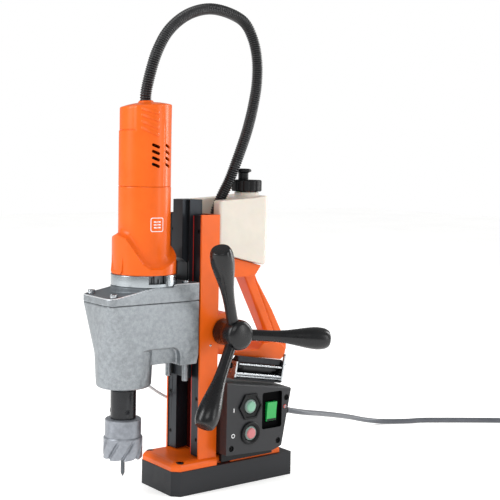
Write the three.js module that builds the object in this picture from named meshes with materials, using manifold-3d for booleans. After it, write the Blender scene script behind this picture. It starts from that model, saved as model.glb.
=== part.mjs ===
// Magnetic drill press: an electromagnet foot, a column with a dovetail slide, a geared drill
// motor that a three-armed capstan moves up and down, a coolant tank, a carrying handle and a
// control box with its mains lead. Millimetres, +Z up. The origin is the centre of the magnet's
// bottom face; +X is the side with the capstan and the switches, and -Y is the drilling side.
import * as THREE from 'three';
import { mergeVertices } from 'three/addons/utils/BufferGeometryUtils.js';
import Module from 'manifold-3d';

const wasm = await Module();
wasm.setup();

// ---------------------------------------------------------------- driving dimensions
const GAP = 0.3; // clearance between parts that touch
const MAGNET = { length: 195, width: 90, height: 32.5, chamfer: 9.5 };
const FOOT = { half: 40.5, toe: 43.8, front: -97, rear: 80, bottom: 32.8, top: 44, chamfer: 9, notch: [-30, -5] };
const COLUMN = { half: 39, front: -56.6, back: -28, top: 367, wall: 3, web: 5 };
const RAIL = { inner: 17, outer: 35.7, front: -55.5, back: -34.3, flare: 4.6, bottom: 46, top: 366 };
const SLIDE = { bottom: 150, top: 386, front: -60.5, back: -37, half: 16.4, backHalf: 20.6 };
const HUB = { y: -21, z: 212, start: 40, armX: 66, end: 86 };
const PINION = { teeth: 14, module: 2, half: 11 };
const SPINDLE_Y = -149;
const MOTOR_Y = -120;
const HEAD = { half: 37.5, corner: 10.4, front: -191.5, rear: -57.5, bottom: 172, round: 190, seam: 255 };
const HOUSING_BOTTOM = 146.5;
const IDLER = { x: 14, y: -104 };
const GEARS = { spindle: 30, idlerPinion: 17, idlerWheel: 34, armature: 8, slow: 2, fast: 1 };
const TANK = { half: 38, front: -27.4, rear: 56, wall: 2.8, channel: 22, channelBack: 14 };
const CAP = { x: 14, y: 34, radius: 20.8, bottom: 396.6, top: 412.3 };
const PLUNGER = { y: 28, radius: 6.9, top: 427.4 };
const RATCHET = { axis: 1, plateIn: 39.5, plateOut: 42 };
const BOX = { inner: -36, split: 46, face: 61 };
const LEAD = { radius: 4, exit: [20, 74.6, 91.4], dip: 10.7 };
const COIL = { x: 112, y: 584, mean: 48, half: 16, height: 16.6 };
const PLUG = { x: 200, y: 562, z: 19.6 };

// ---------------------------------------------------------------- materials
const finish = (color, roughness, metalness) =>
  new THREE.MeshStandardMaterial({ color, roughness, metalness });
const ORANGE = finish(0xf0701f, 0.45, 0.1);
const DARK_STEEL = finish(0x45494d, 0.4, 0.8);
const BRIGHT_STEEL = finish(0xb8bcc0, 0.25, 1);
const BLACK_STEEL = finish(0x232427, 0.45, 0.6);
const CAST = finish(0xa7abae, 0.5, 0.9);
const BLACK_PLASTIC = finish(0x2a2b2e, 0.55, 0);
const BLACK_RUBBER = finish(0x1d1e20, 0.7, 0);
const CREAM = finish(0xe9e1d4, 0.4, 0);
const GREY_PLASTIC = finish(0x8b8d8e, 0.5, 0);
const GREEN = finish(0x2fae5c, 0.35, 0);
const RED = finish(0xd8433a, 0.35, 0);
const CUTTER_GREY = finish(0x96989c, 0.45, 0.7);
const BRONZE = finish(0xb08a4a, 0.4, 0.9);
const COPPER = finish(0xb4622d, 0.4, 0.9);
const BOARD = finish(0x1f6b45, 0.5, 0);
const CORD_GREY = finish(0x4a4b4e, 0.6, 0);

// ---------------------------------------------------------------- solids
/** A closed mesh as a solid, with its faces turned outwards. */
function solid(source) {
  const bare = new THREE.BufferGeometry();
  bare.setAttribute('position', source.getAttribute('position').clone());
  if (source.index) bare.setIndex(source.index.clone());
  const merged = mergeVertices(bare, 1e-4);
  const points = Float32Array.from(merged.attributes.position.array);
  const faces = Uint32Array.from(merged.index.array);
  const corner = (i) => new THREE.Vector3().fromArray(points, 3 * faces[i]);
  let volume = 0;
  for (let i = 0; i < faces.length; i += 3) {
    volume += corner(i).dot(corner(i + 1).cross(corner(i + 2)));
  }
  if (volume < 0) faces.reverse();
  const mesh = new wasm.Mesh({ numProp: 3, vertProperties: points, triVerts: faces });
  return new wasm.Manifold(mesh);
}

function geometryOf(body) {
  const mesh = body.getMesh();
  const geometry = new THREE.BufferGeometry();
  geometry.setAttribute('position', new THREE.BufferAttribute(mesh.vertProperties, 3));
  geometry.setIndex(new THREE.BufferAttribute(mesh.triVerts, 1));
  return geometry;
}

/** Turns a solid drawn along Z so that it runs along the named axis. */
const TO_AXIS = {
  X: new THREE.Matrix4().set(0, 0, 1, 0, 1, 0, 0, 0, 0, 1, 0, 0, 0, 0, 0, 1),
  Y: new THREE.Matrix4().set(1, 0, 0, 0, 0, 0, -1, 0, 0, 1, 0, 0, 0, 0, 0, 1),
  Z: new THREE.Matrix4(),
};

function block(x0, x1, y0, y1, z0, z1) {
  const box = new THREE.BoxGeometry(x1 - x0, y1 - y0, z1 - z0);
  return solid(box.translate((x0 + x1) / 2, (y0 + y1) / 2, (z0 + z1) / 2));
}

/** An outline extruded along an axis: [y, z] points for X, [x, z] for Y and [x, y] for Z. */
function prism(axis, outline, from, to) {
  const shape = outline instanceof THREE.Shape ? outline : shapeOf(outline);
  const options = { depth: to - from, bevelEnabled: false, curveSegments: 4 };
  const body = new THREE.ExtrudeGeometry(shape, options);
  body.translate(0, 0, axis === 'Y' ? -to : from);
  return solid(body.applyMatrix4(TO_AXIS[axis]));
}

const shapeOf = (points) => new THREE.Shape(points.map(([u, v]) => new THREE.Vector2(u, v)));

/** A round bar along an axis; u and v are its centre in the axis's own plane, as for prism. */
function bar(axis, radius, from, to, u = 0, v = 0, segments = 24) {
  return prism(axis, circle(u, v, radius, segments), from, to);
}

function circle(u, v, radius, segments, turn = 0) {
  const at = (k) => turn + (2 * Math.PI * k) / segments;
  return Array.from({ length: segments }, (_, k) =>
    [u + radius * Math.cos(at(k)), v + radius * Math.sin(at(k))]);
}

/** A [radius, height] profile turned about Z; it starts and ends on the axis, or is closed. */
function turned(profile, segments = 28) {
  const points = profile.map(([r, h]) => new THREE.Vector2(r, h));
  return solid(new THREE.LatheGeometry(points, segments).rotateX(Math.PI / 2));
}

/** A ring between two radii, along Z. */
const ring = (outer, inner, from, to, segments = 28) =>
  turned([[inner, from], [outer, from], [outer, to], [inner, to], [inner, from]], segments);

function roundedRectangle(u0, u1, v0, v1, r) {
  const shape = new THREE.Shape();
  shape.moveTo(u0 + r, v0).lineTo(u1 - r, v0).absarc(u1 - r, v0 + r, r, -Math.PI / 2, 0);
  shape.lineTo(u1, v1 - r).absarc(u1 - r, v1 - r, r, 0, Math.PI / 2);
  shape.lineTo(u0 + r, v1).absarc(u0 + r, v1 - r, r, Math.PI / 2, Math.PI);
  shape.lineTo(u0, v0 + r).absarc(u0 + r, v0 + r, r, Math.PI, Math.PI * 1.5);
  return shape;
}

/** A skin through closed outlines of equal length, each at its own height. */
function loft(sections) {
  const count = sections[0].outline.length;
  const flat = sections[0].outline.map(([x, y]) => new THREE.Vector2(x, y));
  if (THREE.ShapeUtils.isClockWise(flat)) {
    return loft(sections.map(({ z, outline }) => ({ z, outline: [...outline].reverse() })));
  }
  const points = sections.flatMap(({ z, outline }) => outline.flatMap(([x, y]) => [x, y, z]));
  const faces = [];
  for (let s = 0; s + 1 < sections.length; s += 1) {
    for (let k = 0; k < count; k += 1) {
      const a = s * count + k;
      const b = s * count + ((k + 1) % count);
      faces.push(a, b, b + count, a, b + count, a + count);
    }
  }
  const last = (sections.length - 1) * count;
  for (const [a, b, c] of THREE.ShapeUtils.triangulateShape(flat, [])) {
    faces.push(a, c, b, last + a, last + b, last + c);
  }
  const skin = new THREE.BufferGeometry();
  skin.setAttribute('position', new THREE.Float32BufferAttribute(points, 3));
  skin.setIndex(faces);
  return solid(skin);
}

/** A round tube along a smooth curve through the points. */
function tube(points, radius, steps, sides = 10) {
  const path = new THREE.CatmullRomCurve3(points.map((p) => new THREE.Vector3(...p)));
  const section = shapeOf(circle(0, 0, radius, sides, Math.PI / sides));
  return solid(new THREE.ExtrudeGeometry(section, { steps, extrudePath: path }));
}

/** Straight-flanked teeth with backlash. A tooth points along angle turn. */
function gearOutline(teeth, module, turn = 0) {
  const pitch = (2 * Math.PI) / teeth;
  const radius = (teeth * module) / 2;
  const flank = [[-0.28, -1.15], [-0.12, 0.75], [0.12, 0.75], [0.28, -1.15]];
  const outline = [];
  for (let k = 0; k < teeth; k += 1) {
    for (const [across, out] of flank) {
      const angle = turn + pitch * (k + across);
      const r = radius + out * module;
      outline.push([r * Math.cos(angle), r * Math.sin(angle)]);
    }
  }
  return outline;
}

const mirrored = (body) => body.mirror([1, 0, 0]);
const bothSides = (body) => body.add(mirrored(body));

const machine = new THREE.Group();

/** Adds one named part. */
function part(name, material, body, parent = machine) {
  const mesh = new THREE.Mesh(geometryOf(body), material);
  mesh.name = name;
  parent.add(mesh);
  return mesh;
}

/** A group whose parts are drawn about their own origin. */
function placed(x, y, z, parent = machine) {
  const group = new THREE.Group();
  group.position.set(x, y, z);
  parent.add(group);
  return group;
}

// ---------------------------------------------------------------- magnet foot
function magnetOutline(inset) {
  const x = MAGNET.width / 2 - inset;
  const y = MAGNET.length / 2 - inset;
  const c = MAGNET.chamfer;
  return [[x, y], [-x, y], [-x, -y + c], [-x + c, -y], [x - c, -y], [x, -y + c]];
}

/** The groove round the inner pole: a racetrack ring. */
function poleRing(outer, inner, from, to) {
  const race = (half) =>
    roundedRectangle(-half, half, -half - 45, half + 45, half - 1);
  return prism('Z', race(outer), from, to).subtract(prism('Z', race(inner), from - 1, to + 1));
}

function magnetFoot() {
  const groove = poleRing(34, 20, -1, 17);
  const steel = prism('Z', magnetOutline(0), 0, MAGNET.height).subtract(groove);
  part('magnet_housing', BLACK_STEEL, steel);
  part('magnet_coil', COPPER, poleRing(33.7, 20.3, 0.5, 16.7));
}

// ---------------------------------------------------------------- frame and column
function footPlate() {
  const { half, toe, front, rear, bottom, top, chamfer: c, notch } = FOOT;
  const outline = (inset) => {
    const x = half - inset;
    const w = toe - inset;
    const corner = c - inset / 2;
    const right = [[w, front + c + inset / 2], [w, notch[0]], [x, notch[0]], [x, rear - inset]];
    const left = [...right].reverse().map(([u, v]) => [-u, v]);
    return [[-w + corner, front + inset], [w - corner, front + inset], ...right, ...left];
  };
  const edge = [[bottom, 0], [38.5, 0], [41, 1.2], [43, 4], [top, 8]];
  const plate = loft(edge.map(([z, inset]) => ({ z, outline: outline(inset) })));
  const sideNotch = block(35.5, toe + 1, notch[0], notch[1], bottom - 1, 38);
  return plate.subtract(bothSides(sideNotch));
}

function pinionHousing() {
  return prism('X', roundedRectangle(-32, 1, 188, 236, 12), -COLUMN.half, COLUMN.half);
}

function columnFrame() {
  const { half, front, back, wall, web, top } = COLUMN;
  const inside = block(-half + wall, half - wall, front - 1, back - web, 40, top + 1);
  const channel = block(-half, half, front, back, FOOT.top - 4, top).subtract(inside);
  const window = block(-13.5, 13.5, back - web - 2, back + 2, 192, 232);
  const bores = bar('X', 9.3, -50, 50, HUB.y, HUB.z);
  const cavity = bar('X', 17.6, -13.5, 13.5, HUB.y, HUB.z);
  const bolts = [[-36, -84], [36, -84]];
  let frame = channel.add(footPlate()).add(pinionHousing());
  frame = frame.subtract(window).subtract(bores).subtract(cavity);
  for (const [x, y] of bolts) {
    frame = frame.subtract(bar('Z', 5.6, 38, 50, x, y, 20));
  }
  part('column_frame', ORANGE, frame);
  bolts.forEach(([x, y], k) => {
    const head = bar('Z', 5, 38.3, 43.2, 0, 0, 20);
    const socket = prism('Z', circle(0, 0, 2.6, 6), 40.5, 44);
    part(`foot_bolt_${k + 1}`, DARK_STEEL, head.subtract(socket), placed(x, y, 0));
  });
}

/** The inner edges of both rails lean back, so that they hold the dovetail. */
function rails() {
  const { inner, outer, front, back, flare, bottom, top } = RAIL;
  const outline = (shift) => [
    [inner + shift, front], [outer, front], [outer, back], [inner + flare + shift, back],
  ];
  const holes = [68, 123, 345];
  const drilled = (rail) => holes.reduce((body, z) =>
    body.subtract(bar('Y', 2.6, front - 1, front + 5, 30.5, z, 12)), rail);
  part('rail_left', DARK_STEEL, mirrored(drilled(prism('Z', outline(0), bottom, top))));
  part('rail_right', DARK_STEEL, drilled(prism('Z', outline(2.2), bottom, top)));
  const gib = [[17, -55], [18.7, -55], [22.9, -35.5], [21.2, -35.5]];
  part('gib_strip', BRONZE, prism('Z', gib, bottom + 1, top - 1));
}

// ---------------------------------------------------------------- slide and rack
const RACK_HALF = 8;

function slideBar() {
  const { bottom, top, front, back, half, backHalf } = SLIDE;
  const outline = [
    [half, front], [half, RAIL.front], [backHalf, back],
    [-backHalf, back], [-half, RAIL.front], [-half, front],
  ];
  const ridge = prism('X', [[front, 303], [-68.5, 309], [-68.5, top], [front, top]], -11, 11);
  const rackSlot = block(-RACK_HALF - GAP, RACK_HALF + GAP, -42.3, back + 1, bottom + 4, 332);
  const stop = block(-21, 21, -62.3, -57.8, bottom, HEAD.bottom - 0.6);
  const grooves = bothSides(block(12, 14, front - 1, front + 1.5, 260, top + 1));
  const endCut = block(-30, 30, -41, -30, 367, top + 1)
    .add(bothSides(block(half, 30, front - 1, -30, 367, top + 1)));
  const body = prism('Z', outline, bottom, top).add(ridge).subtract(rackSlot).add(stop);
  return body.subtract(grooves).subtract(endCut);
}

/** Straight teeth whose pitch line touches the pinion, with a gap level with the pinion. */
function rackBar() {
  const { module, teeth } = PINION;
  const pitch = Math.PI * module;
  const line = HUB.y - (module * teeth) / 2;
  const count = 26;
  const first = HUB.z + pitch * (0.5 - 8);
  const outline = [[-42, first - pitch / 2]];
  for (let k = 0; k < count; k += 1) {
    const z = first + pitch * k;
    outline.push([line - 2.3, z - 1.75], [line + 1.4, z - 0.8]);
    outline.push([line + 1.4, z + 0.8], [line - 2.3, z + 1.75]);
  }
  outline.push([-42, first + pitch * (count - 0.5)]);
  return prism('X', outline, -RACK_HALF, RACK_HALF);
}

// ---------------------------------------------------------------- gear head
/** The nose is half a circle low down, and spreads to a square-cornered front at the seam. */
function headOutline(z, inset = 0) {
  const { half, corner, front, rear, round, seam } = HEAD;
  const boxy = THREE.MathUtils.clamp((z - round) / (seam - round), 0, 1);
  const radius = THREE.MathUtils.lerp(half, corner, boxy);
  const centreY = THREE.MathUtils.lerp(SPINDLE_Y, front + corner, boxy);
  const steps = 9;
  const outline = [];
  for (const side of [1, -1]) {
    for (let k = 0; k <= steps; k += 1) {
      const a = (Math.PI / 2) * (side > 0 ? k / steps : 1 + k / steps);
      const reach = radius - inset;
      const centreX = side * (half - radius);
      outline.push([centreX + reach * Math.cos(a), centreY - reach * Math.sin(a)]);
    }
  }
  const back = rear - inset * 1.6;
  outline.push([inset - half, back], [half - inset, back]);
  return outline.filter((point, k) => k === 0
    || Math.hypot(point[0] - outline[k - 1][0], point[1] - outline[k - 1][1]) > 0.01);
}

function gearHousing() {
  const { half, rear, bottom, round, seam } = HEAD;
  const upper = loft([round, 212, 232, seam].map((z) => ({ z, outline: headOutline(z) })));
  const skirt = block(-half, half, SPINDLE_Y, rear, bottom, round + 1);
  const nose = turned([[0, HOUSING_BOTTOM], [33.5, HOUSING_BOTTOM], [35.5, 149], [half, round],
    [half, 197.5], [30, 203], [0, 203]], 36).translate([0, SPINDLE_Y, 0]);
  const cavity = loft([212, 232, seam + 1].map((z) => ({ z, outline: headOutline(z, 4) })));
  const shaftBore = bar('Z', 17, 138, 160, 0, SPINDLE_Y, 28);
  const bearingBore = bar('Z', 23.8, 152, 220, 0, SPINDLE_Y, 28);
  const arch = prism('X', roundedRectangle(-149, -86, 150, 196.3, 12), 28, 50);
  const archStart = block(28, 50, -149, -130, 150, 196.3);
  const belly = block(-half - 1, half + 1, SPINDLE_Y - 1, -86, 160, 175);
  const legCorner = prism('X', [[-62, 165], [rear + 1, 190], [rear + 1, 165]], -50, 50);
  const slideSlot = block(-16.8, 16.8, SLIDE.front - GAP, rear + 1, 160, seam + 1);
  const gearSweep = bar('Z', 20.5, 224, seam + 1, IDLER.x, IDLER.y, 28);
  const idlerPocket = bar('Z', 5.3, 206, 225, IDLER.x, IDLER.y, 16);
  const post = (x) => bar('Z', 4.2, 147, bottom + 1, x, -67, 16);
  const hoseElbow = bar('Z', 3.4, 158, 178, -26.5, -111, 16);
  const hoseBarb = bar('Z', 2.4, 153.4, 160, -26.5, -111, 12);
  let body = upper.add(skirt).subtract(bothSides(arch.add(archStart))).subtract(belly);
  body = body.add(nose).subtract(cavity).subtract(gearSweep).subtract(idlerPocket);
  body = body.subtract(shaftBore).subtract(bearingBore);
  body = body.subtract(legCorner).subtract(slideSlot).add(post(20)).add(post(-20));
  return body.add(hoseElbow).add(hoseBarb);
}

/** The cover's rim rises towards the back, and a round pad carries the motor. */
function gearCover() {
  const { seam, rear } = HEAD;
  const bottom = seam + GAP;
  const slab = loft([bottom, 285].map((z) => ({ z, outline: headOutline(seam) })));
  const above = [[-195, 264.2], [-180.4, 265.8], [-159.8, 269.5], [-145.9, 272.2], [-124.7, 275.6],
    [-103, 277.9], [-90, 278.8], [-50, 279], [-50, 300], [-195, 300]];
  const collarSeat = bar('Z', 43.3, 276, 300, 0, MOTOR_Y, 36);
  const pad = bar('Z', 42.8, 262, 276, 0, MOTOR_Y, 36);
  const hollow = loft([bottom - 1, 261].map((z) => ({ z, outline: headOutline(seam, 4) })));
  const spindleBoss = bar('Z', 20, bottom, 262, 0, SPINDLE_Y, 28);
  const spindleSeat = bar('Z', 16.3, bottom - 1, 264.2, 0, SPINDLE_Y, 28);
  const idlerBoss = bar('Z', 9, 257, 262, IDLER.x, IDLER.y, 20);
  const idlerSeat = bar('Z', 5.3, 250, 260.5, IDLER.x, IDLER.y, 16);
  const shaftHole = bar('Z', 6, 250, 290, 0, MOTOR_Y, 20);
  const bearingSeat = bar('Z', 12.3, 268, 290, 0, MOTOR_Y, 28);
  const slideSlot = block(-16.8, 16.8, SLIDE.front - GAP, rear + 1, 250, 300);
  let body = slab.subtract(prism('X', above, -60, 60)).subtract(collarSeat).add(pad).subtract(hollow);
  body = body.add(spindleBoss).add(idlerBoss).subtract(spindleSeat).subtract(idlerSeat);
  for (const [y, floor] of [[-181, 262], [-74, 274]]) {
    body = body.subtract(bothSides(bar('Z', 4.2, floor, 300, 27.5, y, 12)));
  }
  return body.subtract(shaftHole).subtract(bearingSeat).subtract(slideSlot);
}

// ---------------------------------------------------------------- motor
/** The barrel flares into a low skirt, and a tall boss stands on the front of the skirt. */
function motorHousing() {
  const skirt = [[31, 291.3], [41.3, 291.3], [41.6, 293]];
  const barrel = [[41.6, 296], [38.4, 299.5], [35.6, 304], [34.2, 309], [33.7, 315], [33.7, 403],
    [31, 403], [31, 291.3]];
  const tall = [[41.6, 318], [39.5, 326], [35.5, 337], [34, 343.5], [31, 343.5], [31, 291.3]];
  const front = block(-14, 14, -50, -20, 290, 345);
  const boss = turned([...skirt, ...tall], 36).intersect(front);
  return turned([...skirt, ...barrel], 36).add(boss).translate([0, MOTOR_Y, 0]);
}

/** The upper shell: a shallow dome, a neck for the conduit and slanted cooling slots. */
function motorCap() {
  const profile = [[31, 403.3], [33.7, 403.3], [33.5, 500], [32, 505.5], [27, 508.5], [10, 509.6],
    [9.6, 514], [8.2, 514], [8.2, 506.5], [29, 504], [31, 499], [31, 472], [4.4, 472], [4.4, 466],
    [31, 466], [31, 403.3]];
  let shell = turned(profile, 36);
  const slot = block(26, 36, -5.8, 5.8, -1.8, 1.8).rotate([-20, 0, 0]);
  for (const turn of [-7.8, 27]) {
    for (let k = 0; k < 4; k += 1) {
      shell = shell.subtract(slot.translate([0, 0, 430.4 + 8.06 * k]).rotate([0, 0, turn]));
    }
  }
  return shell.translate([0, MOTOR_Y, 0]);
}

function motorParts() {
  const collar = ring(42.7, 26, 276.3, 291, 36);
  const window = block(15, 50, -11, 11, 281, 293).rotate([0, 0, -7]);
  part('motor_collar', CAST, collar.subtract(window).translate([0, MOTOR_Y, 0]));
  part('motor_housing', ORANGE, motorHousing());
  part('motor_cap', ORANGE, motorCap());
  const axis = placed(0, MOTOR_Y, 0);
  part('motor_stator', COPPER, ring(30.6, 19, 345, 400), axis);
  part('motor_bearing', BRIGHT_STEEL, ring(12, 5.2, 268.2, 275.8, 24), axis);
  const shaft = turned([[0, 262], [5, 262], [5, 300], [29.5, 300], [29.5, 303], [9, 303], [9, 314],
    [5, 314], [5, 347], [18, 347], [18, 398], [5, 398], [5, 412], [13, 412], [13, 440], [4, 440],
    [4, 474], [0, 474]], 28);
  let rotor = shaft;
  for (let k = 0; k < 9; k += 1) {
    rotor = rotor.add(block(8.5, 28.5, -0.8, 0.8, 302, 312).rotate([0, 0, 40 * k]));
  }
  const turn = Math.atan2(IDLER.y - MOTOR_Y, IDLER.x) + Math.PI / GEARS.armature;
  const pinion = prism('Z', gearOutline(GEARS.armature, GEARS.fast, turn), 246.5, 262.5);
  part('armature', DARK_STEEL, rotor.add(pinion), axis);
}

// ---------------------------------------------------------------- gear train and spindle
function gearTrain() {
  const toIdler = Math.atan2(IDLER.y - SPINDLE_Y, IDLER.x);
  const spindle = placed(0, SPINDLE_Y, 0);
  const shaft = turned([[0, 142.5], [16.4, 142.5], [16.4, 150], [12.4, 150], [12.4, 226],
    [7.9, 226], [7.9, 263], [0, 263]], 24);
  const blind = bar('Z', 5, 141, 212, 0, 0, 16);
  part('spindle', BRIGHT_STEEL, shaft.subtract(blind), spindle);
  const wheel = prism('Z', gearOutline(GEARS.spindle, GEARS.slow, toIdler), 226.5, 243);
  part('spindle_gear', DARK_STEEL, wheel.subtract(bar('Z', 8.2, 220, 250, 0, 0, 24)), spindle);
  part('lower_bearing', BRIGHT_STEEL, ring(23.5, 12.7, 152.4, 166), spindle);
  part('upper_bearing', BRIGHT_STEEL, ring(23.5, 12.7, 198.5, 211.6), spindle);
  part('end_bearing', BRIGHT_STEEL, ring(16, 8.2, 255.6, 263.9), spindle);
  const idler = placed(IDLER.x, IDLER.y, 0);
  const facing = toIdler + Math.PI + Math.PI / GEARS.idlerPinion;
  const toMotor = Math.atan2(MOTOR_Y - IDLER.y, -IDLER.x);
  const low = prism('Z', gearOutline(GEARS.idlerPinion, GEARS.slow, facing), 225.5, 244.5);
  const high = prism('Z', gearOutline(GEARS.idlerWheel, GEARS.fast, toMotor), 247, 254.5);
  const pin = bar('Z', 5, 206.5, 260, 0, 0, 16);
  part('idler_gear', DARK_STEEL, low.add(high).add(pin), idler);
}

function toolParts() {
  const spindle = placed(0, SPINDLE_Y, 0);
  const arbor = turned([[9.9, 104.6], [16.2, 104.6], [16.6, 105.4], [16.6, 141.4], [16, 142.2],
    [3.4, 142.2], [3.4, 138.5], [9.9, 138.5], [9.9, 104.6]], 32);
  part('arbor', BLACK_STEEL, arbor, spindle);
  const outside = [[0, 138], [9.5, 138], [9.5, 104.3], [22.6, 104.3], [23.3, 103], [23.3, 81.5],
    [25.2, 79.5], [25.2, 55]];
  const body = turned([...outside, [20.8, 52.5], [20.8, 96], [0, 96]], 32);
  const flutes = 8;
  let cutter = body.subtract(bar('Z', 3.4, 90, 140, 0, 0, 16));
  for (let k = 0; k < flutes; k += 1) {
    const flute = block(23.4, 30, -2.2, 2.2, -18, 18).rotate([-32, 0, 0]);
    cutter = cutter.subtract(flute.translate([0, 0, 64]).rotate([0, 0, (360 / flutes) * k]));
  }
  part('hole_cutter', CUTTER_GREY, cutter, spindle);
  const pin = turned([[0, 27.4], [0.4, 27.4], [2.6, 32], [2.6, 60], [3, 62], [3, 142.5], [4.4, 142.5], [4.4, 146],
    [0, 146]], 16);
  part('pilot_pin', BRIGHT_STEEL, pin, spindle);
  const wire = [];
  for (let k = 0; k <= 48; k += 1) {
    const a = (2 * Math.PI * k) / 8;
    wire.push([3.3 * Math.cos(a), 3.3 * Math.sin(a), 147.8 + 1.25 * k]);
  }
  part('pilot_spring', BRIGHT_STEEL, tube(wire, 0.6, 48, 5), spindle);
}

// ---------------------------------------------------------------- capstan
function capstan() {
  const axle = placed(0, HUB.y, HUB.z);
  const teeth = gearOutline(PINION.teeth, PINION.module, Math.PI);
  const shaft = bar('X', 7, -41, 62);
  part('pinion_shaft', BRIGHT_STEEL, shaft.add(prism('X', teeth, -PINION.half, PINION.half)), axle);
  const bush = (from, to) =>
    bar('X', 9, from, to).subtract(bar('X', 7.3, from - 1, to + 1));
  part('pinion_bush_left', BRONZE, bush(-39, -14), axle);
  part('pinion_bush_right', BRONZE, bush(14, 39), axle);
  const toX = [0, 90, 0];
  const barrel = turned([[0, HUB.start], [16, HUB.start], [17.6, 41.5], [17.6, 60], [20, 66],
    [20, 76], [17.5, 82.5], [11, 85.6], [0, HUB.end]], 32).rotate(toX);
  let hub = barrel.subtract(bar('X', 7.3, 30, 62.3));
  const arms = [];
  for (let k = 0; k < 3; k += 1) {
    const lean = Math.atan2(39.5, 128.7);
    const length = 134.6;
    const arm = turned([[0, 13], [7.6, 13], [7.4, 42], [9, 68], [13, 98], [15.3, 118], [14.6, 128],
      [12.3, 133.8], [11, length], [0, length]], 16);
    const aim = { tilt: (lean * 180) / Math.PI, turn: 114.7 - 120 * k - 90 };
    const seat = bar('Z', 8, 12.7, 40, 0, 0, 16);
    const swing = (body) => body.rotate([0, aim.tilt, 0]).translate([HUB.armX, 0, 0])
      .rotate([aim.turn, 0, 0]);
    arms.push(swing(arm));
    hub = hub.subtract(swing(seat));
  }
  part('capstan_hub', BLACK_PLASTIC, hub, axle);
  arms.forEach((arm, k) => part(`feed_lever_${k + 1}`, BLACK_PLASTIC, arm, axle));
}

// ---------------------------------------------------------------- coolant tank
/** The side profile, [y, z]: the floor slopes down to the back, and the top rises a little. */
function tankSide(inset) {
  const { front, rear } = TANK;
  return [
    [front + inset, 317 + inset], [-3, 310 + inset], [47 - inset, 297.3 + inset],
    [50.5 - inset, 301 + inset], [52.6 - inset, 335], [52.8 - inset, 369],
    [rear - inset, 375], [rear - inset, 389 - inset], [50 - inset, 391.5 - inset],
    [29, 388.6 - inset], [front + inset, 385.2 - inset],
  ];
}

/** The plan: a U that leaves a channel for the conduit behind the column. */
function tankPlan(inset) {
  const { half, front, rear, channel, channelBack } = TANK;
  const x = half - inset;
  const c = channel + inset;
  const bend = 8;
  const shape = new THREE.Shape();
  shape.moveTo(c, front + inset).lineTo(x, front + inset).lineTo(x, rear - inset - bend);
  shape.absarc(x - bend, rear - inset - bend, bend, 0, Math.PI / 2);
  shape.absarc(-x + bend, rear - inset - bend, bend, Math.PI / 2, Math.PI);
  shape.lineTo(-x, front + inset).lineTo(-c, front + inset).lineTo(-c, channelBack + inset - bend);
  shape.absarc(-c + bend, channelBack + inset - bend, bend, Math.PI, Math.PI / 2, true);
  shape.absarc(c - bend, channelBack + inset - bend, bend, Math.PI / 2, 0, true);
  return shape;
}

function tankBody(inset) {
  return prism('Z', tankPlan(inset), 290, 400).intersect(prism('X', tankSide(inset), -60, 60));
}

function coolantTank() {
  const { x, y } = CAP;
  const neck = bar('Z', 16.5, 380, 396.2, x, y, 28);
  const mouth = bar('Z', 13.7, 370, 400, x, y, 28);
  part('coolant_tank', CREAM, tankBody(0).add(neck).subtract(tankBody(TANK.wall)).subtract(mouth));
  const flutes = 18;
  const grip = circle(x, y, CAP.radius - 0.5, flutes * 2).map(([u, v], k) =>
    (k % 2 ? [u, v] : [x + (u - x) * 1.04, y + (v - y) * 1.04]));
  const bore = bar('Z', 7.3, CAP.bottom - 1, CAP.top + 1, x, PLUNGER.y);
  part('tank_cap', BLACK_PLASTIC, prism('Z', grip, CAP.bottom, CAP.top).subtract(bore));
  const stem = turned([[0, 372], [4, 372], [4, 398], [PLUNGER.radius, 398], [PLUNGER.radius, 422.6],
    [10.9, 422.6], [10.9, PLUNGER.top], [0, PLUNGER.top]], 24);
  part('pump_plunger', BLACK_PLASTIC, stem.translate([x, PLUNGER.y, 0]));
  const valve = bar('Z', 4.5, 302, 317, -30, -20, 16).subtract(tankBody(-GAP));
  part('tank_valve', BLACK_PLASTIC, valve.add(bar('Z', 3, 292, 303, -30, -20, 12)));
}

// ---------------------------------------------------------------- handle
/** A tray under the tank, a slanted grip and a lower arm: one D-shaped casting. */
function carryHandle() {
  const back = COLUMN.back + GAP;
  const tray = [[back, 299], [back, 316.3], [-3, 309.4], [49.5, 295.8], [50.2, 294.8],
    [40, 283.2], [33, 281.6], [3, 281.6], [-8, 286]];
  const grip = [[34, 284], [44, 289], [53.5, 281], [57, 273], [101, 201], [112, 180], [112, 172], [106, 161.5],
    [84, 165], [77, 192], [72, 204]];
  const arm = [[back, 179.5], [-3, 175.6], [94, 159.8], [101, 164], [103, 174], [97, 181],
    [84, 186], [62, 186], [55, 178], [20, 178.6], [6, 180.5], [-8, 187.4], [back, 187.4]];
  const valveNotch = block(-31, -22, back - 1, -10, 270, 320);
  return prism('X', tray, -30, 30).subtract(valveNotch).add(prism('X', grip, -12, 12))
    .add(prism('X', arm, -22, 22));
}

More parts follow.
